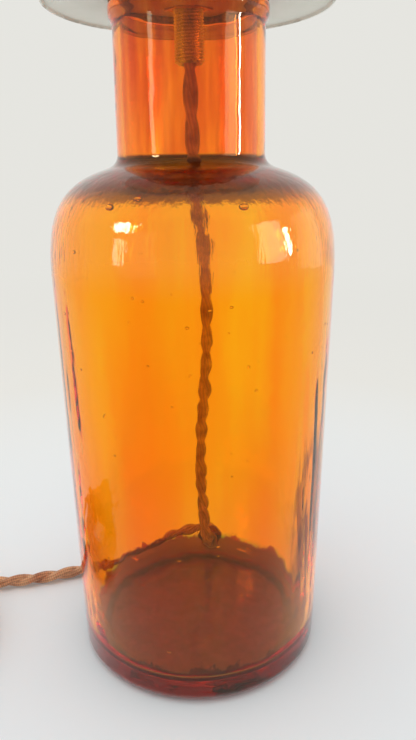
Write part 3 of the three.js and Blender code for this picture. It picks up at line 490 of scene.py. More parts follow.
def coil_point(turn):
    climb = min(max((turn - COIL_LAYER_TURNS) / COIL_CLIMB_TURNS, 0), 1)
    inward = min(turn, COIL_LAYER_TURNS)
    outward = max(0, turn - COIL_LAYER_TURNS - COIL_CLIMB_TURNS)
    radius = COIL_RADIUS - COIL_PITCH * (inward - outward) - COIL_CLIMB_DIP * math.sin(math.pi * climb)
    angle = TURN * (COIL_START + turn)
    rise = COIL_RISE * climb * climb * (3 - 2 * climb)
    return COIL_CENTRE + Vector((radius * math.cos(angle), radius * math.sin(angle), COIL_LOW + rise))


steps = round(COIL_TURNS * COIL_STEPS_PER_TURN)
coil_line = [coil_point(COIL_TURNS * i / steps) for i in range(steps + 1)]
print("coil:", round(COIL_TURNS, 2), "turns,", round(line_length(coil_line), 3), "m")

# %% Cord outside the bottle
leaving = Vector((-0.5, math.sqrt(0.75), 0))
outside_points = [
    on_exit(50.46), on_exit(55.2, 0.0101), (0.0043, 0.0612, 0.0082), (0.0002, 0.0654, 0.0056),
    (-0.006, 0.067, 0.0036), (-0.0122, 0.065, 0.0028), (-0.019, 0.0595, 0.0028), (-0.026, 0.0525, 0.0028),
    (-0.0335, 0.0456, 0.0028), (-0.042, 0.039, 0.0028), (-0.052, 0.033, 0.0028), (-0.064, 0.028, 0.0028),
    (-0.078, 0.024, 0.0029), (-0.094, 0.0214, 0.0030), (-0.108, 0.0203, 0.0034),
    coil_line[0] + Vector((CORD_DIAMETER, 0, 0)),
]
tail_points = [
    coil_line[-1], coil_line[-1] + leaving * 5.7 * MM, coil_line[-1] + leaving * 11.1 * MM,
    *(COIL_CENTRE + Vector((x * MM, y * MM, z * MM)) for x, y, z in (
        (26.1, 34.8, 11), (21, 39.9, 12.9), (14, 41.8, 15.2), (7, 39.9, 17.2), (1.9, 34.8, 18.7),
        (0, 27.8, 19.4), (0, 22.4, 19.4),
    )),
]
outside_line = smooth_line(outside_points) + coil_line + smooth_line(tail_points)[1:]
print("cord outside the bottle:", round(line_length(outside_line), 3), "m")

# %% [markdown]
# ## Cloth
# Braided cloth is two sets of fine threads that cross over and under. Two slanted waves on the strand's own
# UV map give the threads, and their height makes the bump and, in the material, a painted shade where the
# threads dip. A slow noise lets the dye vary along the cord. The group takes the number of threads, so that
# thick and thin strands can share it.


# %% Group and noise helpers
def start_group(name, inputs, outputs):
    group = bpy.data.node_groups.new(name, "ShaderNodeTree")
    for socket, value in inputs.items():
        made = group.interface.new_socket(socket, in_out="INPUT", socket_type="NodeSocketFloat")
        made.default_value = value
    for socket in outputs:
        group.interface.new_socket(socket, in_out="OUTPUT", socket_type="NodeSocketFloat")
    return group, add_node(group, "NodeGroupInput"), add_node(group, "NodeGroupOutput")


def add_noise(tree, place, scale, detail=2.0, **values):
    inputs = {"Vector": place, "Scale": scale, "Detail": detail, **values}
    return add_node(tree, "ShaderNodeTexNoise", inputs).outputs[0]


# %% Braid group
braid, entry, leave = start_group("braid", {"Along": 400.0, "Around": 4.0}, ("Height", "Dye"))
strand = add_node(braid, "ShaderNodeUVMap", uv_map="strand").outputs[0]
strand = add_node(braid, "ShaderNodeSeparateXYZ", {0: strand}).outputs
along = math_node(braid, "MULTIPLY", strand["X"], entry.outputs["Along"])
around = math_node(braid, "MULTIPLY", strand["Y"], entry.outputs["Around"])


def slanted_threads(operation):
    slant = math_node(braid, operation, along, around)
    return math_node(braid, "SINE", math_node(braid, "MULTIPLY", slant, TURN))


height = math_node(braid, "MULTIPLY", slanted_threads("ADD"), slanted_threads("SUBTRACT"))
feed(leave, Height=height, Dye=add_noise(braid, object_place(braid), 180.0, 4.0))
print("braid group:", len(braid.nodes), "nodes")


# %% Cloth material
def blend(tree, share, first, second, **how):
    inputs = {0: share, 6: first, 7: second}
    return add_node(tree, "ShaderNodeMix", inputs, data_type="RGBA", **how).outputs[2]


def add_bump(shader, height, strength, distance):
    inputs = {"Strength": strength, "Distance": distance, "Height": height}
    bump = add_node(shader.id_data, "ShaderNodeBump", inputs).outputs[0]
    feed(shader, Normal=bump)
    return bump


cloth, tree, shader = start_material("bronze_cloth", Roughness=0.85, Sheen_Weight=0.25)
weave = add_node(tree, "ShaderNodeGroup", {"Along": 620.0, "Around": 4.0}, node_tree=braid).outputs
dye = two_tone(tree, weave["Dye"], (0.50, 0.18, 0.08), (1, 0.56, 0.29), 0.3, 0.7)
# Painted shade: the colour darkens where the threads dip, between them.
dark = spread(tree, weave["Height"], -1, 1, low=0.55)
feed(shader, Base_Color=blend(tree, 1.0, dye, dark, blend_type="MULTIPLY"))
add_bump(shader, weave["Height"], 0.6, 0.0004)
print("cloth nodes:", len(tree.nodes))

# %% [markdown]
# ## Twisted pair
# Two soft strands wind round the middle line, half a turn apart, and press into each other. Inside the
# bottle the winding grows tighter on its way down. Each strand is a curve with a round bevel, which
# Blender turns into a tube; a frame carried along the line without twisting keeps the winding even
# through the bends. The tubes become one mesh, with a UV map that runs along them.

# %% Strands round a line
STRAND_RADIUS = 1.72 * MM
STRAND_OFFSET = 0.96 * MM


def strand_lines(line, first_lay, last_lay):
    side = Vector((1, 0, 0))
    lines = ([], [])
    whole = line_length(line)
    travelled = angle = 0.0
    for i, here in enumerate(line):
        ahead = line[min(i + 1, len(line) - 1)] - line[max(i - 1, 0)]
        ahead.normalize()
        side = (side - ahead * side.dot(ahead)).normalized()
        step = (here - line[i - 1]).length if i else 0.0
        travelled += step
        angle -= TURN * step / (first_lay + (last_lay - first_lay) * travelled / whole)
        offset = (side * math.cos(angle) + ahead.cross(side) * math.sin(angle)) * STRAND_OFFSET
        lines[0].append(here + offset)
        lines[1].append(here - offset)
    return lines


# %% Tubes along lines
def tubes_along(lines, radius):
    curve = bpy.data.curves.new("strands", "CURVE")
    curve.dimensions = "3D"
    curve.bevel_depth = radius
    curve.bevel_resolution = 3
    curve.use_fill_caps = True
    for line in lines:
        spline = curve.splines.new("POLY")
        spline.points.add(len(line) - 1)
        for spot, place in zip(spline.points, line):
            spot.co = (*place, 1)
    holder = add_object("strands", curve)
    mesh = bpy.data.meshes.new_from_object(holder)
    bpy.data.objects.remove(holder)
    mesh.uv_layers[0].name = "strand"
    bm = bmesh.new()
    bm.from_mesh(mesh)
    bpy.data.meshes.remove(mesh)
    return bm


bm = tubes_along(strand_lines(inside_line, 30 * MM, 17 * MM), STRAND_RADIUS)
inner_cord = finish_piece("cord_inner", bm, cloth, "stand", "cloth_cord", "cord_inside")
bm = tubes_along(strand_lines(outside_line, 22 * MM, 22 * MM), STRAND_RADIUS)
outer_cord = finish_piece(
    "cord_outer", bm, cloth, "stand", "cloth_cord", "cord_outside", "cord_coil", "cord_tail"
)
print("uv maps:", [layer.name for layer in outer_cord.data.uv_layers])

# %% [markdown]
# ## Metal, rubber and porcelain
# Handling leaves the same marks on all of them: broad clouds of tarnish or dust, and fine scuffs. One
# node group makes both as plain masks, and each finish chooses its own two colours, its gloss and the
# size of its marks.

# %% Handling group
SCUFFS_PER_CLOUD = 9.0
handling, entry, leave = start_group("handling", {"Size": 120.0}, ("Cloud", "Scuff"))
spot = object_place(handling)
fine = math_node(handling, "MULTIPLY", entry.outputs["Size"], SCUFFS_PER_CLOUD)
cloud = add_noise(handling, spot, entry.outputs["Size"], 5.0, Roughness=0.6)
scuff = add_noise(handling, spot, fine, 3.0, Distortion=0.8)
feed(leave, Cloud=spread(handling, cloud, 0.3, 0.7), Scuff=spread(handling, scuff, 0.3, 0.7))
print("handling group:", len(handling.nodes), "nodes")


# %% Worn finishes
def add_marks(tree, size):
    return add_node(tree, "ShaderNodeGroup", {"Size": size}, node_tree=handling).outputs


def worn_finish(name, worn, fresh, gloss, size, relief=0.00003, **values):
    material, tree, shader = start_material(name, **values)
    marks = add_marks(tree, size)
    tone = blend(tree, marks["Cloud"], (*worn, 1), (*fresh, 1))
    feed(shader, Base_Color=tone, Roughness=spread(tree, marks["Scuff"], 0, 1, *gloss))
    add_bump(shader, marks["Scuff"], 0.5, relief)
    print("finish:", name)
    return material


brass = worn_finish("aged_brass", (0.52, 0.33, 0.10), (0.80, 0.58, 0.24), (0.22, 0.45), 160.0, Metallic=1.0)
# Painted light: the tube's brass is paler and greener, to make up for the amber light that reaches it through
# the glass.
brightened_brass = worn_finish(
    "brightened_brass", (0.56, 0.58, 0.26), (0.76, 0.82, 0.44), (0.2, 0.4), 160.0, relief=0.00001, Metallic=1.0
)
nickel = worn_finish("dull_nickel", (0.48, 0.46, 0.43), (0.66, 0.65, 0.62), (0.20, 0.40), 200.0, Metallic=1.0)
rubber = worn_finish("dark_rubber", (0.018, 0.015, 0.013), (0.042, 0.036, 0.032), (0.6, 0.8), 150.0)
# Painted light: the bush's rubber is a lighter brown than the strap's, to lift the shade it sits in.
lightened_rubber = worn_finish("lightened_rubber", (0.36, 0.19, 0.08), (0.52, 0.30, 0.14), (0.6, 0.8), 150.0)
plastic = worn_finish("brown_plastic", (0.022, 0.014, 0.010), (0.040, 0.027, 0.020), (0.28, 0.48), 90.0)
porcelain = worn_finish("porcelain", (0.72, 0.69, 0.62), (0.82, 0.80, 0.74), (0.15, 0.3), 140.0)
fibre = worn_finish("vulcan_fibre", (0.05, 0.03, 0.02), (0.10, 0.065, 0.045), (0.75, 0.95), 220.0)
black_glass = worn_finish("black_glass", (0.006, 0.006, 0.007), (0.014, 0.013, 0.015), (0.08, 0.2), 200.0)
phosphor = worn_finish("filament_yellow", (0.72, 0.42, 0.08), (0.86, 0.58, 0.16), (0.5, 0.7), 500.0)

# %% [markdown]
# ## Bush and tie
# A rubber bush lines the hole so that the glass can't cut the cloth. It is a turned piece laid on its
# side. The tie round the coil is a flat strap: a rectangle with round corners, drawn as a wire, extruded
# to the strap's width and given its thickness by solidify.

# %% Bush
bush_outline = [
    (3.0, 43.9), *arc(4, (3.3, 44.0), 0.3, 180, 270), *arc(4, (4.0, 44.0), 0.3, -90, 0), (4.3, 48.16),
    (5.9, 48.16), *arc(4, (5.9, 48.46), 0.3, -90, 0), *bend(8, (6.2, 49.0), (6.2, 50.16), (4.4, 50.16)),
    *arc(4, (3.4, 49.76), 0.4, 90, 180),
]
bm = spin_outline(bush_outline, 64)
lay_down(bm, "X", -90)
shift(bm, (0, 0, EXIT_HEIGHT))
lay_down(bm, "Z", -EXIT_AZIMUTH)
bush = finish_piece("cord_bush", bm, lightened_rubber, "stand", "dark_rubber", "cord_grommet")

# %% Tie
TIE_WIDTH = 8 * MM
TIE_THICKNESS = 0.5 * MM
TIE_ANGLE = 135
TIE_CORNER = 1.95
loop = []
for corner, first in (((41.0, 11.25), 0), ((17.2, 11.25), 90), ((17.2, 2.05), 180), ((41.0, 2.05), 270)):
    loop += arc(6, corner, TIE_CORNER, first, first + 90)
bm = bmesh.new()
points = [bm.verts.new((r * MM, -TIE_WIDTH / 2, z * MM)) for r, z in loop]
edges = [bm.edges.new(pair) for pair in zip(points, points[1:] + points[:1])]
across = bmesh.ops.extrude_edge_only(bm, edges=edges)["geom"]
bmesh.ops.translate(bm, verts=points_of(across), vec=(0, TIE_WIDTH, 0))
bmesh.ops.recalc_face_normals(bm, faces=bm.faces)
bmesh.ops.solidify(bm, geom=bm.faces[:], thickness=TIE_THICKNESS)
bmesh.ops.recalc_face_normals(bm, faces=bm.faces)
lay_down(bm, "Z", TIE_ANGLE)
shift(bm, COIL_CENTRE)
tie = finish_piece("coil_strap", bm, rubber, "stand", "dark_rubber", "coil_tie")

# %% [markdown]
# ## Plug
# A flat two-pin plug lies on the coil. Its body is half of its plan, extruded, mirrored about its long
# middle and bevelled all round; the ribbed sleeve behind it is turned and keeps the cord from bending
# sharply, and each nickel pin has a root that is slightly thinner than its round tip.

# %% Plug body
PLUG_PLACE = COIL_CENTRE + Vector((0, 22.1 * MM, 19.4 * MM))
PLUG_BACK, PLUG_FRONT = 22.3, 58.3
PLUG_BACK_HALF, PLUG_HALF = 6.8, 17.5
PLUG_THICKNESS = 13.6


def lay_plug(bm):
    lay_down(bm, "Z", -90)
    shift(bm, PLUG_PLACE)


cheek = bezier(9, (PLUG_BACK, PLUG_BACK_HALF), (28.5, 8.1), (33.5, 11.5), (40.3, PLUG_HALF))
half_plan = [(PLUG_BACK, 0), *cheek, (PLUG_FRONT, PLUG_HALF), (PLUG_FRONT, 0)]
bm = bmesh.new()
face = bm.faces.new([bm.verts.new((x * MM, y * MM, -PLUG_THICKNESS / 2 * MM)) for x, y in half_plan])
raise_faces(bm, [face], PLUG_THICKNESS)
inner = [f for f in bm.faces if all(abs(v.co.y) < 1e-6 for v in f.verts)]
bmesh.ops.delete(bm, geom=inner, context="FACES_ONLY")
bmesh.ops.mirror(bm, geom=[*bm.verts, *bm.edges, *bm.faces], axis="Y", merge_dist=1e-6)
bmesh.ops.recalc_face_normals(bm, faces=bm.faces)
bmesh.ops.dissolve_limit(bm, angle_limit=math.radians(0.5), verts=bm.verts, edges=bm.edges)
soften(bm, 1.6, 40, 4)
lay_plug(bm)
plug_body = finish_piece("plug_shell", bm, plastic, "stand", "dark_plastic", "plug_body", sharp=50)

# %% Plug sleeve
RELIEF_RIBS = 5
RELIEF_LENGTH = 22
RELIEF_TIP, RELIEF_TAPER = 3.9, 1.9
rib = RELIEF_LENGTH / (RELIEF_RIBS + 0.5)
sleeve_outline = [(0, 0.3), (2.2, 0.3), *arc(4, (3.4, 0.5), 0.5, -90, 0)]
for i in range(1, RELIEF_RIBS + 1):
    x = i * rib
    wide = RELIEF_TIP + RELIEF_TAPER * x / RELIEF_LENGTH
    sleeve_outline += bend(5, (wide - 0.05, x - 0.9), (wide, x - 0.5), (wide - 0.7, x - 0.35))
    sleeve_outline += bend(5, (wide - 0.7, x + 0.35), (wide + 0.1, x + 0.5), (wide + 0.05, x + 0.9))
sleeve_outline += [(5.8, 21.7), (5.5, 22), (0, 22)]
bm = spin_outline(sleeve_outline, 48)
lay_down(bm, "Y", 90)
lay_plug(bm)
relief = finish_piece("plug_sleeve", bm, rubber, "stand", "dark_rubber", "plug_relief")

# %% Plug pins
PIN_SIDE = 9.3
PIN_START = 58.6
pin_outline = [
    (0, 0), (1.85, 0), (1.85, 9.8), (1.97, 10.0), *straight(3, (2, 10.0), (2, 17)),
    *arc(8, (0, 17), 2, 0, 90)[:-1], (0, 19),
]
for side, solid in ((PIN_SIDE, "plug_pin_left"), (-PIN_SIDE, "plug_pin_right")):
    bm = spin_outline(pin_outline, 32)
    lay_down(bm, "Y", 90)
    shift(bm, (PIN_START * MM, side * MM, 0))
    lay_plug(bm)
    finish_piece(solid.replace("plug_", "contact_"), bm, nickel, "stand", "nickel", solid)

print("cord in all:", round(line_length(inside_line) + line_length(outside_line), 2), "m")

# %% [markdown]
# ## Amber glass
# Coloured glass swallows some of the light on its way through. A Volume Absorption node takes out blue
# quickly and green slowly, so thick places are darker. The batch was not stirred evenly, and that part of the
# colour tints the surface. Noise that is stretched upright gives the streaks of the body and the neck, the
# ragged edge of the painted shade on the floor, and the dark streaks low on one flank.

# %% Amber glass
amber, tree, shader = start_material(
    "amber_glass", Roughness=0.012, IOR=1.42, Transmission_Weight=1.0, Specular_Tint=(0.6, 0.42, 0.12, 1)
)
absorb = add_node(tree, "ShaderNodeVolumeAbsorption", {"Color": (0.99, 0.75, 0.04, 1), "Density": 300.0})
feed(tree.nodes["Material Output"], Volume=absorb.outputs[0])
spot = object_place(tree)


def drawn_noise(stretch, detail, scale=1.0, **values):
    drawn = add_node(tree, "ShaderNodeMapping", {"Vector": spot, "Scale": stretch}).outputs[0]
    return add_noise(tree, drawn, scale, detail, **values)


UPRIGHT = (40, 40, 5)
streak = drawn_noise(UPRIGHT, 5.0)
comb = drawn_noise(UPRIGHT, 4.0, scale=3.6)
fringe = drawn_noise((190, 190, 120), 6.0, Roughness=0.72)
smear = drawn_noise((170, 170, 26), 4.0)
print("amber noises:", len(tree.nodes), "nodes")

# %% [markdown]
# Each colour of the glass is mixed in by a mask. A mask rises smoothly between two limits of height, of
# distance from the middle or of the angle round the bottle, all in metres and radians, and masks that are
# multiplied overlap: a redder neck, a dark band at its foot, a greenish tint that darkens the heel, a
# wine-red floor with a darker ring, and darker streaks low on one flank. The band, the heel and the floor
# with its ring are painted shade; on the floor it stands for the shadowed table showing through.


# %% Amber glass masks
def height_and_reach(tree, spot):
    parts = add_node(tree, "ShaderNodeSeparateXYZ", {0: spot}).outputs
    flat = add_node(tree, "ShaderNodeCombineXYZ", {"X": parts["X"], "Y": parts["Y"]}).outputs[0]
    reach = add_node(tree, "ShaderNodeVectorMath", {0: flat}, operation="LENGTH").outputs["Value"]
    return parts, parts["Z"], reach


def between(value, start, full):
    return spread(tree, value, start, full, easing="SMOOTHSTEP")


def overlap(*masks):
    whole = masks[0]
    for mask in masks[1:]:
        whole = math_node(tree, "MULTIPLY", whole, mask)
    return whole


parts, height, reach = height_and_reach(tree, spot)
neck = between(height, 0.182, 0.190)
# Painted shade: a dark band round the top of the shoulder, at the neck's foot.
band = overlap(between(height, 0.1735, 0.179), between(height, 0.1885, 0.186))
lower = overlap(between(height, 0.13, 0.02), 0.6)
# Painted shade: a greenish tint darkens the heel, where the glass meets the table.
heel = between(height, 0.015, 0.009)
ragged = overlap(math_node(tree, "SUBTRACT", fringe, 0.5), 0.02)
floor_shade_height = math_node(tree, "ADD", height, ragged)
# Painted shade: the floor is tinted wine-red where the shadowed table under the bottle shows through it.
floor_shade = overlap(between(reach, 0.0466, 0.0458), between(floor_shade_height, 0.0140, 0.0128))
# Painted shade: a darker ring where the floor curves into the heel.
ring = overlap(floor_shade, between(reach, 0.0375, 0.0405))
angle = math_node(tree, "ARCTAN2", parts["X"], overlap(parts["Y"], -1.0))
# Darker streaks low on one flank.
dark_flank_streaks = overlap(
    between(angle, 0.76, 0.86), between(angle, 1.26, 1.14), between(height, 0.034, 0.046),
    between(height, 0.100, 0.084), between(smear, 0.43, 0.50),
)
print("amber masks:", len(tree.nodes), "nodes")


# %% Amber glass colour
def streaked(low, high, source=streak):
    return two_tone(tree, source, low, high, 0.38, 0.62)


tint = streaked((1, 0.56, 0.10), (1, 0.82, 0.16))
for mask, colour in (
    (lower, streaked((1, 0.53, 0.15), (1, 0.66, 0.22))),
    (neck, streaked((0.78, 0.23, 0.06), (1, 0.62, 0.16), comb)),
    # painted shade at the neck's foot
    (band, streaked((0.11, 0.06, 0.06), (0.19, 0.09, 0.08))),
    # painted shade of the heel
    (heel, streaked((0.15, 0.43, 0.31), (0.21, 0.50, 0.37))),
    # painted shade of the floor
    (floor_shade, streaked((0.48, 0.075, 0.26), (0.68, 0.12, 0.40), fringe)),
    (dark_flank_streaks, streaked((0.07, 0.03, 0.02), (0.16, 0.06, 0.035))),
    # painted shade of the floor's ring
    (ring, streaked((0.20, 0.007, 0.04), (0.33, 0.014, 0.07))),
):
    tint = blend(tree, mask, tint, colour)
feed(shader, Base_Color=tint)
print("amber colour:", len(tree.nodes), "nodes")

# %% [markdown]
# A shallow bump makes the reflections waver as they do on blown glass, with fine wisps on the shoulder.
# A clear coat adds white gloss where the glass shows it: on the shoulder, the neck and the foot, and along
# the edges that turn away, but not on the painted shade of the floor. Light is bounced round inside thick
# glass many times before it comes out, so Cycles is allowed more bounces than usual.

# %% Amber glass surface
SHOULDER_GLOSS, FOOT_GLOSS, NECK_GLOSS = 0.75, 0.6, 0.4
EDGE_FALLOFF = 3.2
shoulder = overlap(between(height, 0.145, 0.160), between(height, 0.186, 0.180))
foot = between(height, 0.10, 0.02)
wisps = overlap(drawn_noise((480, 480, 60), 3.0), shoulder, 0.5)
ripples = math_node(tree, "ADD", add_noise(tree, spot, 70.0), wisps)
feed(shader, Coat_Normal=add_bump(shader, ripples, 0.25, 0.001))
facing = add_node(tree, "ShaderNodeLayerWeight", {"Blend": 0.5}).outputs["Facing"]
gloss = math_node(tree, "POWER", facing, EDGE_FALLOFF)
for mask, strength in ((shoulder, SHOULDER_GLOSS), (foot, FOOT_GLOSS), (neck, NECK_GLOSS)):
    gloss = math_node(tree, "MAXIMUM", gloss, overlap(mask, strength))
feed(shader, Coat_Weight=overlap(gloss, math_node(tree, "SUBTRACT", 1.0, floor_shade)))
scene.cycles.max_bounces = 32
scene.cycles.transmission_bounces = 32
scene.cycles.glossy_bounces = 24
print("bounces:", scene.cycles.max_bounces)

# %% [markdown]
# ## Bottle
# The outline runs from the raised middle of the base round the heel, up the wall, over the shoulder and
# the lip, and back down the inside. The same shoulder curve, one wall further in, makes the inside.

# %% Bottle outline
SHOULDER_START = 150
bottle_outline = [
    *bezier(10, (0, 2.5), (17, 2.5), (26, 1.6), (34.8, 0)),
    *arc(10, (42.78, 5), 5, -90, 0),
    *straight(16, (47.78, 5), (50, SHOULDER_START)),
    *bezier(28, (50, SHOULDER_START), (50, 171), (44.54, 179.5), (29, 184.24)),
    *bend(9, (29, 184.24), (25.2, 185.5), (25.2, 188.8))[1:],
    *straight(6, (25.2, 188.8), (24.9, 227)),
    *bezier(9, (24.9, 227), (24.9, 229), (26.1, 229), (26.1, 231.2)),
    *arc(6, (24.7, 232.6), 1.4, 0, 90),
    *arc(5, (23.2, 233), 1, 90, 180),
    *straight(6, (22.2, 233), (22.5, 188.8)),
    *bend(8, (22.5, 188.8), (22.5, 182.3), (26.3, 181.04)),
    *bezier(24, (26.3, 181.04), (42.3, 176.95), (46.8, 171), (46.8, SHOULDER_START))[1:],
    *straight(16, (46.8, SHOULDER_START), (44.71, 13.5)),
    *arc(10, (36.7, 13.5), 8, 0, -90),
    *bezier(10, (36.7, 5.5), (24, 6.6), (12, 7), (0, 7))[1:],
]
bm = spin_outline(bottle_outline, 288)
print("bottle outline:", len(bottle_outline), "points")

# %% [markdown]
# Hand-blown glass is never quite even. Noise moves the points of the inside by up to a millimetre: slow
# swells on the wall and the floor, and upright ripples low on the two flanks, where the mould dragged.
# Each set of ripples has a depth and a bell-shaped mask, with a middle and a width round the bottle in
# degrees and up it in metres.

# %% Uneven wall
BASE_RADIUS = 47.7
WALL_LEAN = 2.3
MIDDLE_OF_WALL = 1.6
FLOOR_TOP = 5.4
FLOOR_RADIUS = 30
WALL_SWELL, FLOOR_SWELL, RIPPLE_DEPTH = 0.35 * MM, 0.5 * MM, 0.30 * MM
RIPPLED_FLANKS = ((1.4, (-66, 20), (0.10, 0.05)), (3.4, (60, 13), (0.078, 0.034)))


def bell(value, middle, width):
    return math.exp(-(((value - middle) / width) ** 2))


def ripple_mask(x, y, z):
    angle = math.degrees(math.atan2(x, -y))
    return sum(depth * bell(angle, *turn) * bell(z, *height) for depth, turn, height in RIPPLED_FLANKS)


for v in bm.verts:
    x, y, z = v.co
    radius = math.hypot(x, y)
    middle = (BASE_RADIUS + WALL_LEAN * z / (SHOULDER_START * MM) - MIDDLE_OF_WALL) * MM
    if not FLOOR_TOP * MM < z < SHOULDER_START * MM or radius >= middle:
        continue
    if radius > FLOOR_RADIUS * MM:
        swell = noise.noise(Vector((x, y, z * 0.35)) * 55) * WALL_SWELL
        ripple = noise.noise(Vector((x * 320, y * 320, z * 24))) * RIPPLE_DEPTH * ripple_mask(x, y, z)
        v.co.xy *= 1 + (swell + ripple) / radius
    else:
        v.co.z += noise.noise(Vector((x, y, 0)) * 90) * FLOOR_SWELL
bottle = finish_piece("bottle", bm, amber, "stand", "amber_glass", "glass_bottle")

# %% Drill the cord hole
HOLE_RADIUS = 4.6
hole = rod(HOLE_RADIUS, (0, 36, EXIT_HEIGHT / MM), (0, 56, EXIT_HEIGHT / MM), 48)
lay_down(hole, "Z", -EXIT_AZIMUTH)
cut_away(bottle, hole)

# %% [markdown]
# Bubbles of gas, which glassmakers call seeds, stay in the wall when the glass cools, drawn out
# sideways. Each is a small ball squeezed and stretched into an egg that fits inside the wall's
# thickness. The large ones have their places, given as degrees round from the front, radius, height and
# size. The small ones are scattered by a generator with a fixed start, so that every run is alike.

# %% Seed glass
clear_seed, tree, shader = start_material(
    "seed_glass", Base_Color=(1, 0.9, 0.7, 1), IOR=1.45, Transmission_Weight=1.0,
    Specular_Tint=(1, 0.8, 0.48, 1),
)
haze = add_noise(tree, object_place(tree), 900.0)
feed(shader, Roughness=spread(tree, haze, 0, 1, high=0.06))
print("seed glass:", len(tree.nodes), "nodes")

# %% Seeds
SEED_SHAPE = (1.2, 0.42, 0.8)
SMALL_SEEDS = 60
SMALL_HEIGHTS, SMALL_SIZES = (18, 150), (0.3, 0.6)
FOOT_RADIUS, RADIUS_GAIN = 46.1, 0.0153
FINE_SEED = 0.5
seeds = [
    (-31.9, 43.8, 172.8, 1.3), (-20.4, 42.0, 175.1, 1.2), (20.7, 43.8, 172.7, 1.3), (-47.2, 47.9, 159.7, 0.7),
    (-20.4, 48.4, 147.7, 0.5), (-1.4, 48.3, 139.2, 0.55), (24.0, 47.6, 118.0, 0.5), (-32.5, 47.6, 95.0, 0.45),
    (9.0, 46.6, 61.0, 0.4), (41.7, 47.9, 159.8, 0.45), (150.0, 46.8, 100.0, 0.8), (-120.0, 46.6, 84.0, 0.7),
    (95.0, 47.6, 135.0, 0.8), (-150.0, 47.9, 150.0, 0.6), (60.0, 46.2, 54.0, 0.5), (-40.3, 47.0, 53.8, 0.4),
    (5.0, 46.6, 52.0, 0.3), (3.5, 46.3, 28.0, 0.35), (-21.0, 46.2, 24.0, 0.3), (-21.5, 46.1, 18.5, 0.3),
]
draw = random.Random(5)
for _ in range(SMALL_SEEDS):
    height = draw.uniform(*SMALL_HEIGHTS)
    around = draw.uniform(-180, 180)
    seeds.append((around, FOOT_RADIUS + RADIUS_GAIN * height, height, draw.uniform(*SMALL_SIZES)))
bm = bmesh.new()
for around, radius, height, size in seeds:
    detail = 3 if size > FINE_SEED else 2
    made = bmesh.ops.create_icosphere(bm, subdivisions=detail, radius=size * MM)["verts"]
    bmesh.ops.scale(bm, vec=SEED_SHAPE, verts=made)
    bmesh.ops.translate(bm, verts=made, vec=(0, -radius * MM, height * MM))
    turn = Matrix.Rotation(math.radians(around), 3, "Z")
    bmesh.ops.rotate(bm, verts=made, cent=(0, 0, 0), matrix=turn)
finish_piece("glass_seeds", bm, clear_seed, "stand", "amber_glass")

# %% [markdown]
# ## Cork ring and plate
# A cork ring sits on the lip, and the painted plate on the cork. Cork is pressed grain: small cells
# with dark gaps. The plate is a turned disc with its edge rolled down; its pale paint has gone cloudy
# and is worn to olive brown along the rim, where a mask of height and distance from the middle lets the
# old coat through.

# %% Cork
cork, tree, shader = start_material("cork_grain", Roughness=0.9)
cells = {"Vector": object_place(tree), "Scale": 900.0, "Randomness": 1.0}
grain = add_node(tree, "ShaderNodeTexVoronoi", cells).outputs["Distance"]
feed(shader, Base_Color=blend(tree, grain, (0.42, 0.24, 0.12, 1), (0.16, 0.08, 0.035, 1)))
add_bump(shader, grain, 0.6, 0.0002)
cork_outline = [
    (19.9, 233.0), (20.1, 232.9), (21.7, 232.9), (21.9, 233.1), (21.9, 234.1), (25.4, 234.1),
    *arc(5, (25.3, 234.5), 0.4, -90, 90), (19.9, 234.9),
]
finish_piece("cork_washer", spin_outline(cork_outline, 128), cork, "stand", "cork", "cork_ring")

# %% Plate paint
OLD_COAT = (0.16, 0.12, 0.05, 1)
paint, tree, shader = start_material("cream_paint", Coat_Roughness=0.25)
marks = add_marks(tree, 45.0)
cream = blend(tree, marks["Cloud"], (0.87, 0.92, 0.83, 1), (0.95, 0.99, 0.92, 1))
spot = object_place(tree)
_, height, reach = height_and_reach(tree, spot)
rim, low = spread(tree, reach, 0.0455, 0.0470), spread(tree, height, 0.2355, 0.2342)
chips = spread(tree, add_noise(tree, spot, 60.0, 4.0), 0.46, 0.54)
worn = blend(tree, overlap(rim, low, chips), cream, OLD_COAT)
feed(shader, Base_Color=worn, Roughness=spread(tree, marks["Scuff"], 0, 1, 0.35, 0.6))
add_bump(shader, marks["Scuff"], 0.4, 0.00005)
print("plate paint:", len(tree.nodes), "nodes")

# %% Plate
plate_outline = [
    (5.3, 235.15), (5.45, 235.0), (44.6, 235.0), *bend(6, (45.2, 235.0), (45.9, 235.0), (45.9, 234.5)),
    *arc(9, (46.45, 234.45), 0.5, 180, 360), *straight(3, (47, 234.5), (47, 235.2)),
    *bend(9, (47, 235.2), (47, 236.5), (45.5, 236.5)), (25, 236.5), (5.45, 236.5), (5.3, 236.35),
]
finish_piece("plate", spin_outline(plate_outline, 192), paint, "stand", "pale_paint", "cap_plate")

# %% [markdown]
# ## Threaded tube
# A screw thread is a spin that also climbs: bmesh.ops.spin takes a dvec, the step along the axis. One
# zigzag tooth is spun for as many turns as the tube needs, its turns are merged, and both ends are cut
# flat with bisect_plane. Then the rim of each cut is carried on along an outline of its own, and the two
# are bridged.


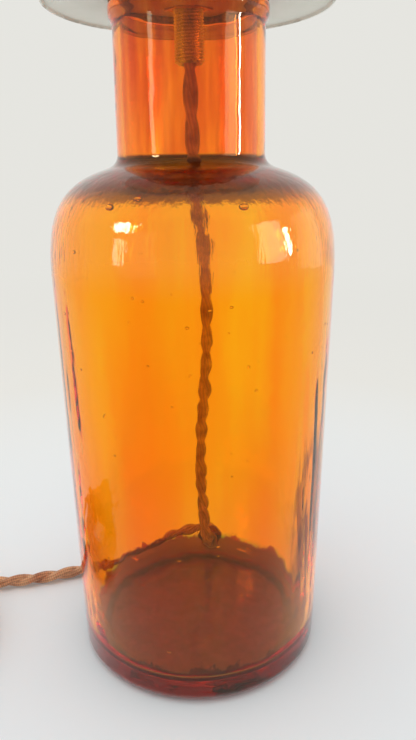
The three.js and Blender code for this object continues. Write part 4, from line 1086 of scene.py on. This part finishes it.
# %% Thread helpers
def screw_thread(tooth, pitch, bottom, top, steps):
    bm = bmesh.new()
    turns = math.ceil((top - bottom) / pitch) + 4
    start = bottom - 2 * pitch
    points = [bm.verts.new((r * MM, 0, (start + part * pitch) * MM)) for r, part in tooth]
    edges = [bm.edges.new(pair) for pair in zip(points, points[1:])]
    climb = (0, 0, pitch * MM / steps)
    bmesh.ops.spin(
        bm, geom=points + edges, cent=(0, 0, 0), axis=(0, 0, 1), dvec=climb, angle=TURN * turns,
        steps=steps * turns, use_merge=False,
    )
    bmesh.ops.remove_doubles(bm, verts=bm.verts, dist=1e-5)
    for height, side in ((bottom, -1), (top, 1)):
        whole = [*bm.verts, *bm.edges, *bm.faces]
        level = (0, 0, height * MM)
        bmesh.ops.bisect_plane(bm, geom=whole, plane_co=level, plane_no=(0, 0, side), clear_outer=True)
    return bm


def open_rim(bm, height):
    return [e for e in bm.edges if e.is_boundary and all(abs(v.co.z - height * MM) < 2e-6 for v in e.verts)]


def carry_rim(bm, rim, outline):
    for radius, height in outline:
        grown = bmesh.ops.extrude_edge_only(bm, edges=rim)["geom"]
        for v in points_of(grown):
            flat = v.co.xy.normalized() * radius * MM
            v.co = (flat.x, flat.y, height * MM)
        rim = [e for e in grown if isinstance(e, bmesh.types.BMEdge)]
    return rim


def threaded_piece(tooth, pitch, bottom, top, steps, from_bottom, from_top):
    bm = screw_thread(tooth, pitch, bottom, top, steps)
    low, high = open_rim(bm, bottom), open_rim(bm, top)
    low = carry_rim(bm, low, from_bottom)
    high = carry_rim(bm, high, from_top)
    bmesh.ops.bridge_loops(bm, edges=low + high)
    bmesh.ops.recalc_face_normals(bm, faces=bm.faces)
    return bm


# %% Tube
TUBE_TOOTH = [(4.35, 0.0), (4.42, 0.08), (4.98, 0.44), (4.98, 0.56), (4.42, 0.92), (4.35, 1.0)]
TUBE_PITCH = 1.0
TUBE_THREAD_BOTTOM, TUBE_THREAD_TOP = 217.0, 248.2
bore_outline = [(4.3, 216.6), (4.1, 216.5), (3.8, 216.5), (3.7, 216.6), (3.7, 248.6), (3.8, 248.7)]
mouth_outline = [(4.3, 248.6), (4.1, 248.7)]
bm = threaded_piece(
    TUBE_TOOTH, TUBE_PITCH, TUBE_THREAD_BOTTOM, TUBE_THREAD_TOP, 48, bore_outline, mouth_outline
)
finish_piece("screwed_tube", bm, brightened_brass, "stand", "brass", "threaded_tube", sharp=50)

# %% [markdown]
# ## Nut and lock ring
# The thin hexagon nut pulls the plate up from below, and the fluted ring clamps it from above. Both are
# raised outlines: the nut's points lie on a hexagon, and the ring's edge waves twenty times round.

# %% Nut and ring
TUBE_HOLE = 5.3


def hexagon(across_flats):
    def reach(angle):
        beside = (angle + math.pi / 6) % (math.pi / 3) - math.pi / 6
        return across_flats / 2 / math.cos(math.pi / 6 - abs(beside))

    return reach


def waves(radius, count, depth):
    return lambda angle: radius - depth / 2 * (1 - math.cos(count * angle))


bm = raise_outline(hexagon(14), 48, 232.9, 234.9, bore=TUBE_HOLE)
soften(bm, 0.25, 40)
finish_piece("hexagon_nut", bm, brass, "stand", "brass", "lower_nut", sharp=50)
bm = raise_outline(waves(11, 20, 0.6), 200, 236.6, 240.6, bore=TUBE_HOLE)
soften(bm, 0.45, 60, 3)
finish_piece("fluted_ring", bm, brass, "stand", "brass", "lock_ring", sharp=50)

# %% [markdown]
# ## Lampholder
# The holder is two pressed brass shells: a cup that screws on the tube, and a taller shell that stands
# in the cup and turns in at its mouth. They are thin, so each outline runs up the outside and down the
# inside, one wall apart. The grub screw's hole and the slot for the switch shaft are cut afterwards.

# %% Cup and grub screw
GRUB_HEIGHT = 242.7
GRUB_HOLE = 1.8
cup_outline = [
    (TUBE_HOLE, 240.9), (5.5, 240.7), (8.2, 240.7), (8.5, 241.0),
    *bezier(20, (8.5, 244.7), (8.5, 250.2), (20, 248.2), (20, 255.7)), (20, 258.5),
    *bend(4, (20, 258.9), (20.0, 259.2), (19.8, 259.3)), *bend(4, (19.8, 259.9), (20, 260.0), (20, 260.3)),
    (20, 262.4), *arc(5, (19.55, 262.4), 0.42, 0, 180), (19.1, 258),
    *bezier(16, (19.1, 255.7), (19.1, 250), (11, 249.3), (6.3, 248.7)), (TUBE_HOLE, 248.7),
]
cup = finish_piece("cup", spin_outline(cup_outline, 96), brass, "stand", "brass", "holder_cup")
cut_away(cup, rod(GRUB_HOLE, (-12, 0, GRUB_HEIGHT), (-5.0, 0, GRUB_HEIGHT)))
screw_outline = [(0, 5.6), (1.1, 5.6), (1.5, 6.0), (1.5, 8.9), (1.2, 9.2), (0, 9.2)]
bm = spin_outline(screw_outline, 32)
lay_down(bm, "Y", -90)
shift(bm, (0, 0, GRUB_HEIGHT * MM))
grub = finish_piece("grub_screw", bm, nickel, "stand", "nickel", "holder_grub_screw")
cut_away(grub, block((1.4, 6, 0.6), (-9.2, 0, GRUB_HEIGHT)))

# %% Shell
shell_outline = [
    (18.0, 256.9), *arc(4, (18.4, 257.0), 0.38, 180, 360), *straight(3, (18.8, 257.2), (18.8, 268.3)),
    *bend(9, (18.8, 268.5), (20.3, 269.7), (18.8, 270.9)), *straight(4, (18.8, 271.2), (18.8, 295.7)),
    *bend(9, (18.8, 295.7), (18.8, 298.7), (16.6, 298.7)), *arc(5, (15.8, 298.3), 0.4, 90, 270),
    *bend(8, (16.4, 297.9), (18, 297.9), (18, 295.7)),
]
shell = finish_piece("shell", spin_outline(shell_outline, 96), brass, "stand", "brass", "holder_shell")
cut_away(shell, block((8, 4.6, 12.4), (18.8, 0, 261.2)))

# %% [markdown]
# Inside the shells the solids already have the right shape, and hardly any of them shows. They stay, and
# only take a finish. The two leads to the terminals are cloth-covered, so they are tubes like the cord's
# strands.

# %% Inner pieces
LEAD_RADIUS = 0.8 * MM
for solid, material in (
    ("insulating_sleeve", fibre), ("holder_insert", porcelain), ("terminal_screw_live", brass),
    ("terminal_screw_neutral", brass), ("screw_shell", brass), ("centre_contact", brass),
):
    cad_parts[solid].material_slots[0].material = material
lead_route = [(1.2, 251.3), (2.4, 253.3), (7, 254.7), (13, 256.8), (13.6, 260.2)]
for side, solid in ((1, "lead_live"), (-1, "lead_neutral")):
    line = smooth_line([(0, side * y * MM, z * MM) for y, z in lead_route], 0.5 * MM)
    bm = tubes_along([line], LEAD_RADIUS)
    finish_piece(solid.replace("lead", "wire"), bm, cloth, "stand", "cloth_cord", solid)

# %% [markdown]
# ## Switch knob
# A fluted brass grip on a shaft. The grip is a raised outline with ten flutes and softened ends; the
# shaft is joined to it in one mesh, because they turn together.

# %% Knob
KNOB_HEIGHT = 265.1


def join(bm, other):
    mesh = make_mesh("joined", other)
    bm.from_mesh(mesh)
    bpy.data.meshes.remove(mesh)


bm = raise_outline(waves(5.2, 10, 0.5), 120, 21.6, 31.6)
soften(bm, 0.7, 60, 3)
join(bm, spin_outline([(0, 6.1), (1.5, 6.1), (1.7, 6.3), (1.7, 21.8), (0, 21.8)], 32))
lay_down(bm, "Y", 90)
shift(bm, (0, 0, KNOB_HEIGHT * MM))
finish_piece("knob", bm, brass, "switch", "brass", "switch_knob", sharp=50)

# %% [markdown]
# ## Bulb
# The bulb's tip, black glass insulator and threaded cap are turned; the cap's rolled thread is a rounded
# wave spun with a climb, like the tube's. The globe is thin clear glass with its stem and four straight
# filaments inside. Glass that thin has hardly any colour of its own, only its shine and a faint smear of
# dust.

# %% Tip and insulator
tip_outline = [*bezier(9, (0, 276.1), (2.6, 276.1), (4.0, 276.7), (4.6, 277.7)), (4.5, 277.9), (0, 277.9)]
finish_piece("tip", spin_outline(tip_outline, 48), nickel, "bulb_lift", "nickel", "bulb_tip")
insulator_outline = [
    (0, 278.0), (5.2, 278.0), *bend(9, (5.4, 278.0), (11.6, 280.0), (11.6, 282.0)), (11.6, 282.8),
    (11.4, 283.0), (0, 283.0),
]
bm = spin_outline(insulator_outline, 64)
finish_piece("insulator", bm, black_glass, "bulb", "black_glass", "bulb_insulator")

# %% Threaded cap
CAP_RADIUS, CAP_THREAD_DEPTH = 12.7, 0.38
CAP_PITCH = 3.62
CAP_THREAD_BOTTOM, CAP_THREAD_TOP = 284.2, 299.6
CAP_TOOTH = [(CAP_RADIUS - CAP_THREAD_DEPTH * math.cos(TURN * i / 10), i / 10) for i in range(11)]
inside_outline = [
    (12.5, 283.2), (12.2, 282.4), (12.05, 282.0), (11.95, 282.0), (11.9, 282.3), (11.9, 299.6), (12.2, 300.3),
    (12.2, 301.1), (12.4, 303.9), (12.5, 304.1),
]
collar_outline = [(13.0, 300.2), (12.75, 300.9), (12.7, 301.5), (12.9, 302.3), (12.9, 303.9), (12.8, 304.1)]
bm = threaded_piece(
    CAP_TOOTH, CAP_PITCH, CAP_THREAD_BOTTOM, CAP_THREAD_TOP, 64, inside_outline, collar_outline
)
finish_piece("threaded_cap", bm, nickel, "bulb", "nickel", "bulb_cap", sharp=60)

# %% Globe
GLOBE_MIDDLE = 348.1
GLOBE_RADIUS = 30
GLOBE_WALL = 0.8
GLOBE_NECK = 11.9
clear_glass, tree, shader = start_material(
    "clear_glass", Base_Color=(0.89, 0.89, 0.88, 1), IOR=1.45, Transmission_Weight=1.0
)
feed(shader, Roughness=spread(tree, add_marks(tree, 60.0)["Cloud"], 0, 1, high=0.05))


def flank(inset):
    neck, wide = GLOBE_NECK - inset, GLOBE_RADIUS - inset
    return bezier(20, (neck, 306.1), (neck + 1, 320.1), (wide, 328.1), (wide, GLOBE_MIDDLE))


def crown(radius):
    return arc(16, (0, GLOBE_MIDDLE), radius, 0, 90)[1:-1]


inner_radius = GLOBE_RADIUS - GLOBE_WALL
globe_outline = [
    (0, GLOBE_MIDDLE + inner_radius), *reversed(crown(inner_radius)), *reversed(flank(GLOBE_WALL)),
    (11.1, 301.0), *arc(5, (11.5, 301.0), 0.4, 180, 360), *flank(0), *crown(GLOBE_RADIUS),
    (0, GLOBE_MIDDLE + GLOBE_RADIUS),
]
finish_piece("globe", spin_outline(globe_outline, 96), clear_glass, "bulb", "clear_glass", "bulb_glass")

# %% Stem and filaments
FILAMENTS = 4
WIRE_RADIUS, STICK_RADIUS = 0.4, 0.9
STICK_TOP, STICK_BOTTOM = 349.1, 321.1
stem_outline = [
    (0, 298.6), (10.6, 298.6), (10.8, 298.8), (10.8, 299.4),
    *bend(9, (9.8, 300.1), (3.6, 300.6), (3.6, 309.6)), (3.6, 328.1),
    *bend(8, (3.6, 328.1), (2, 330.1), (2, 334.1)), (2, 351.1),
    *bend(6, (2, 351.3), (2, 352.1), (0, 352.1)),
]
finish_piece("stem", spin_outline(stem_outline, 48), clear_glass, "bulb", "clear_glass", "bulb_stem")

bm = spin_outline([(2.3, 348.1), (3.3, 348.1), (3.3, 350.1), (2.3, 350.1)], 32)
for i in range(FILAMENTS):
    angle = TURN * (i + 0.5) / FILAMENTS
    ray = Vector((math.cos(angle), math.sin(angle), 0))
    top, bottom = ray * 9.5 + Vector((0, 0, STICK_TOP)), ray * 6.5 + Vector((0, 0, STICK_BOTTOM))
    for width, start, end in (
        (WIRE_RADIUS, ray * 2.7 + Vector((0, 0, STICK_TOP)), top), (STICK_RADIUS, bottom, top),
        (WIRE_RADIUS, ray * 3.9 + Vector((0, 0, STICK_BOTTOM + 1)), bottom),
    ):
        join(bm, rod(width, start, end, 12))
finish_piece("filaments", bm, phosphor, "bulb", "filament", "bulb_filaments")

# %% [markdown]
# ## Sizes
# Both boxes, of the solids and of the dressed lamp, are kept side by side, and the dressed lamp's box is
# printed. The dressed lamp should keep to the box of its solids, to within a millimetre.

# %% Keep both boxes and print the lamp's
size = {"cad": [list(c) for c in solid_box], "visual": [list(c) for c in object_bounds()]}
print("visual box:", [[round(v, 4) for v in corner] for corner in size["visual"]])
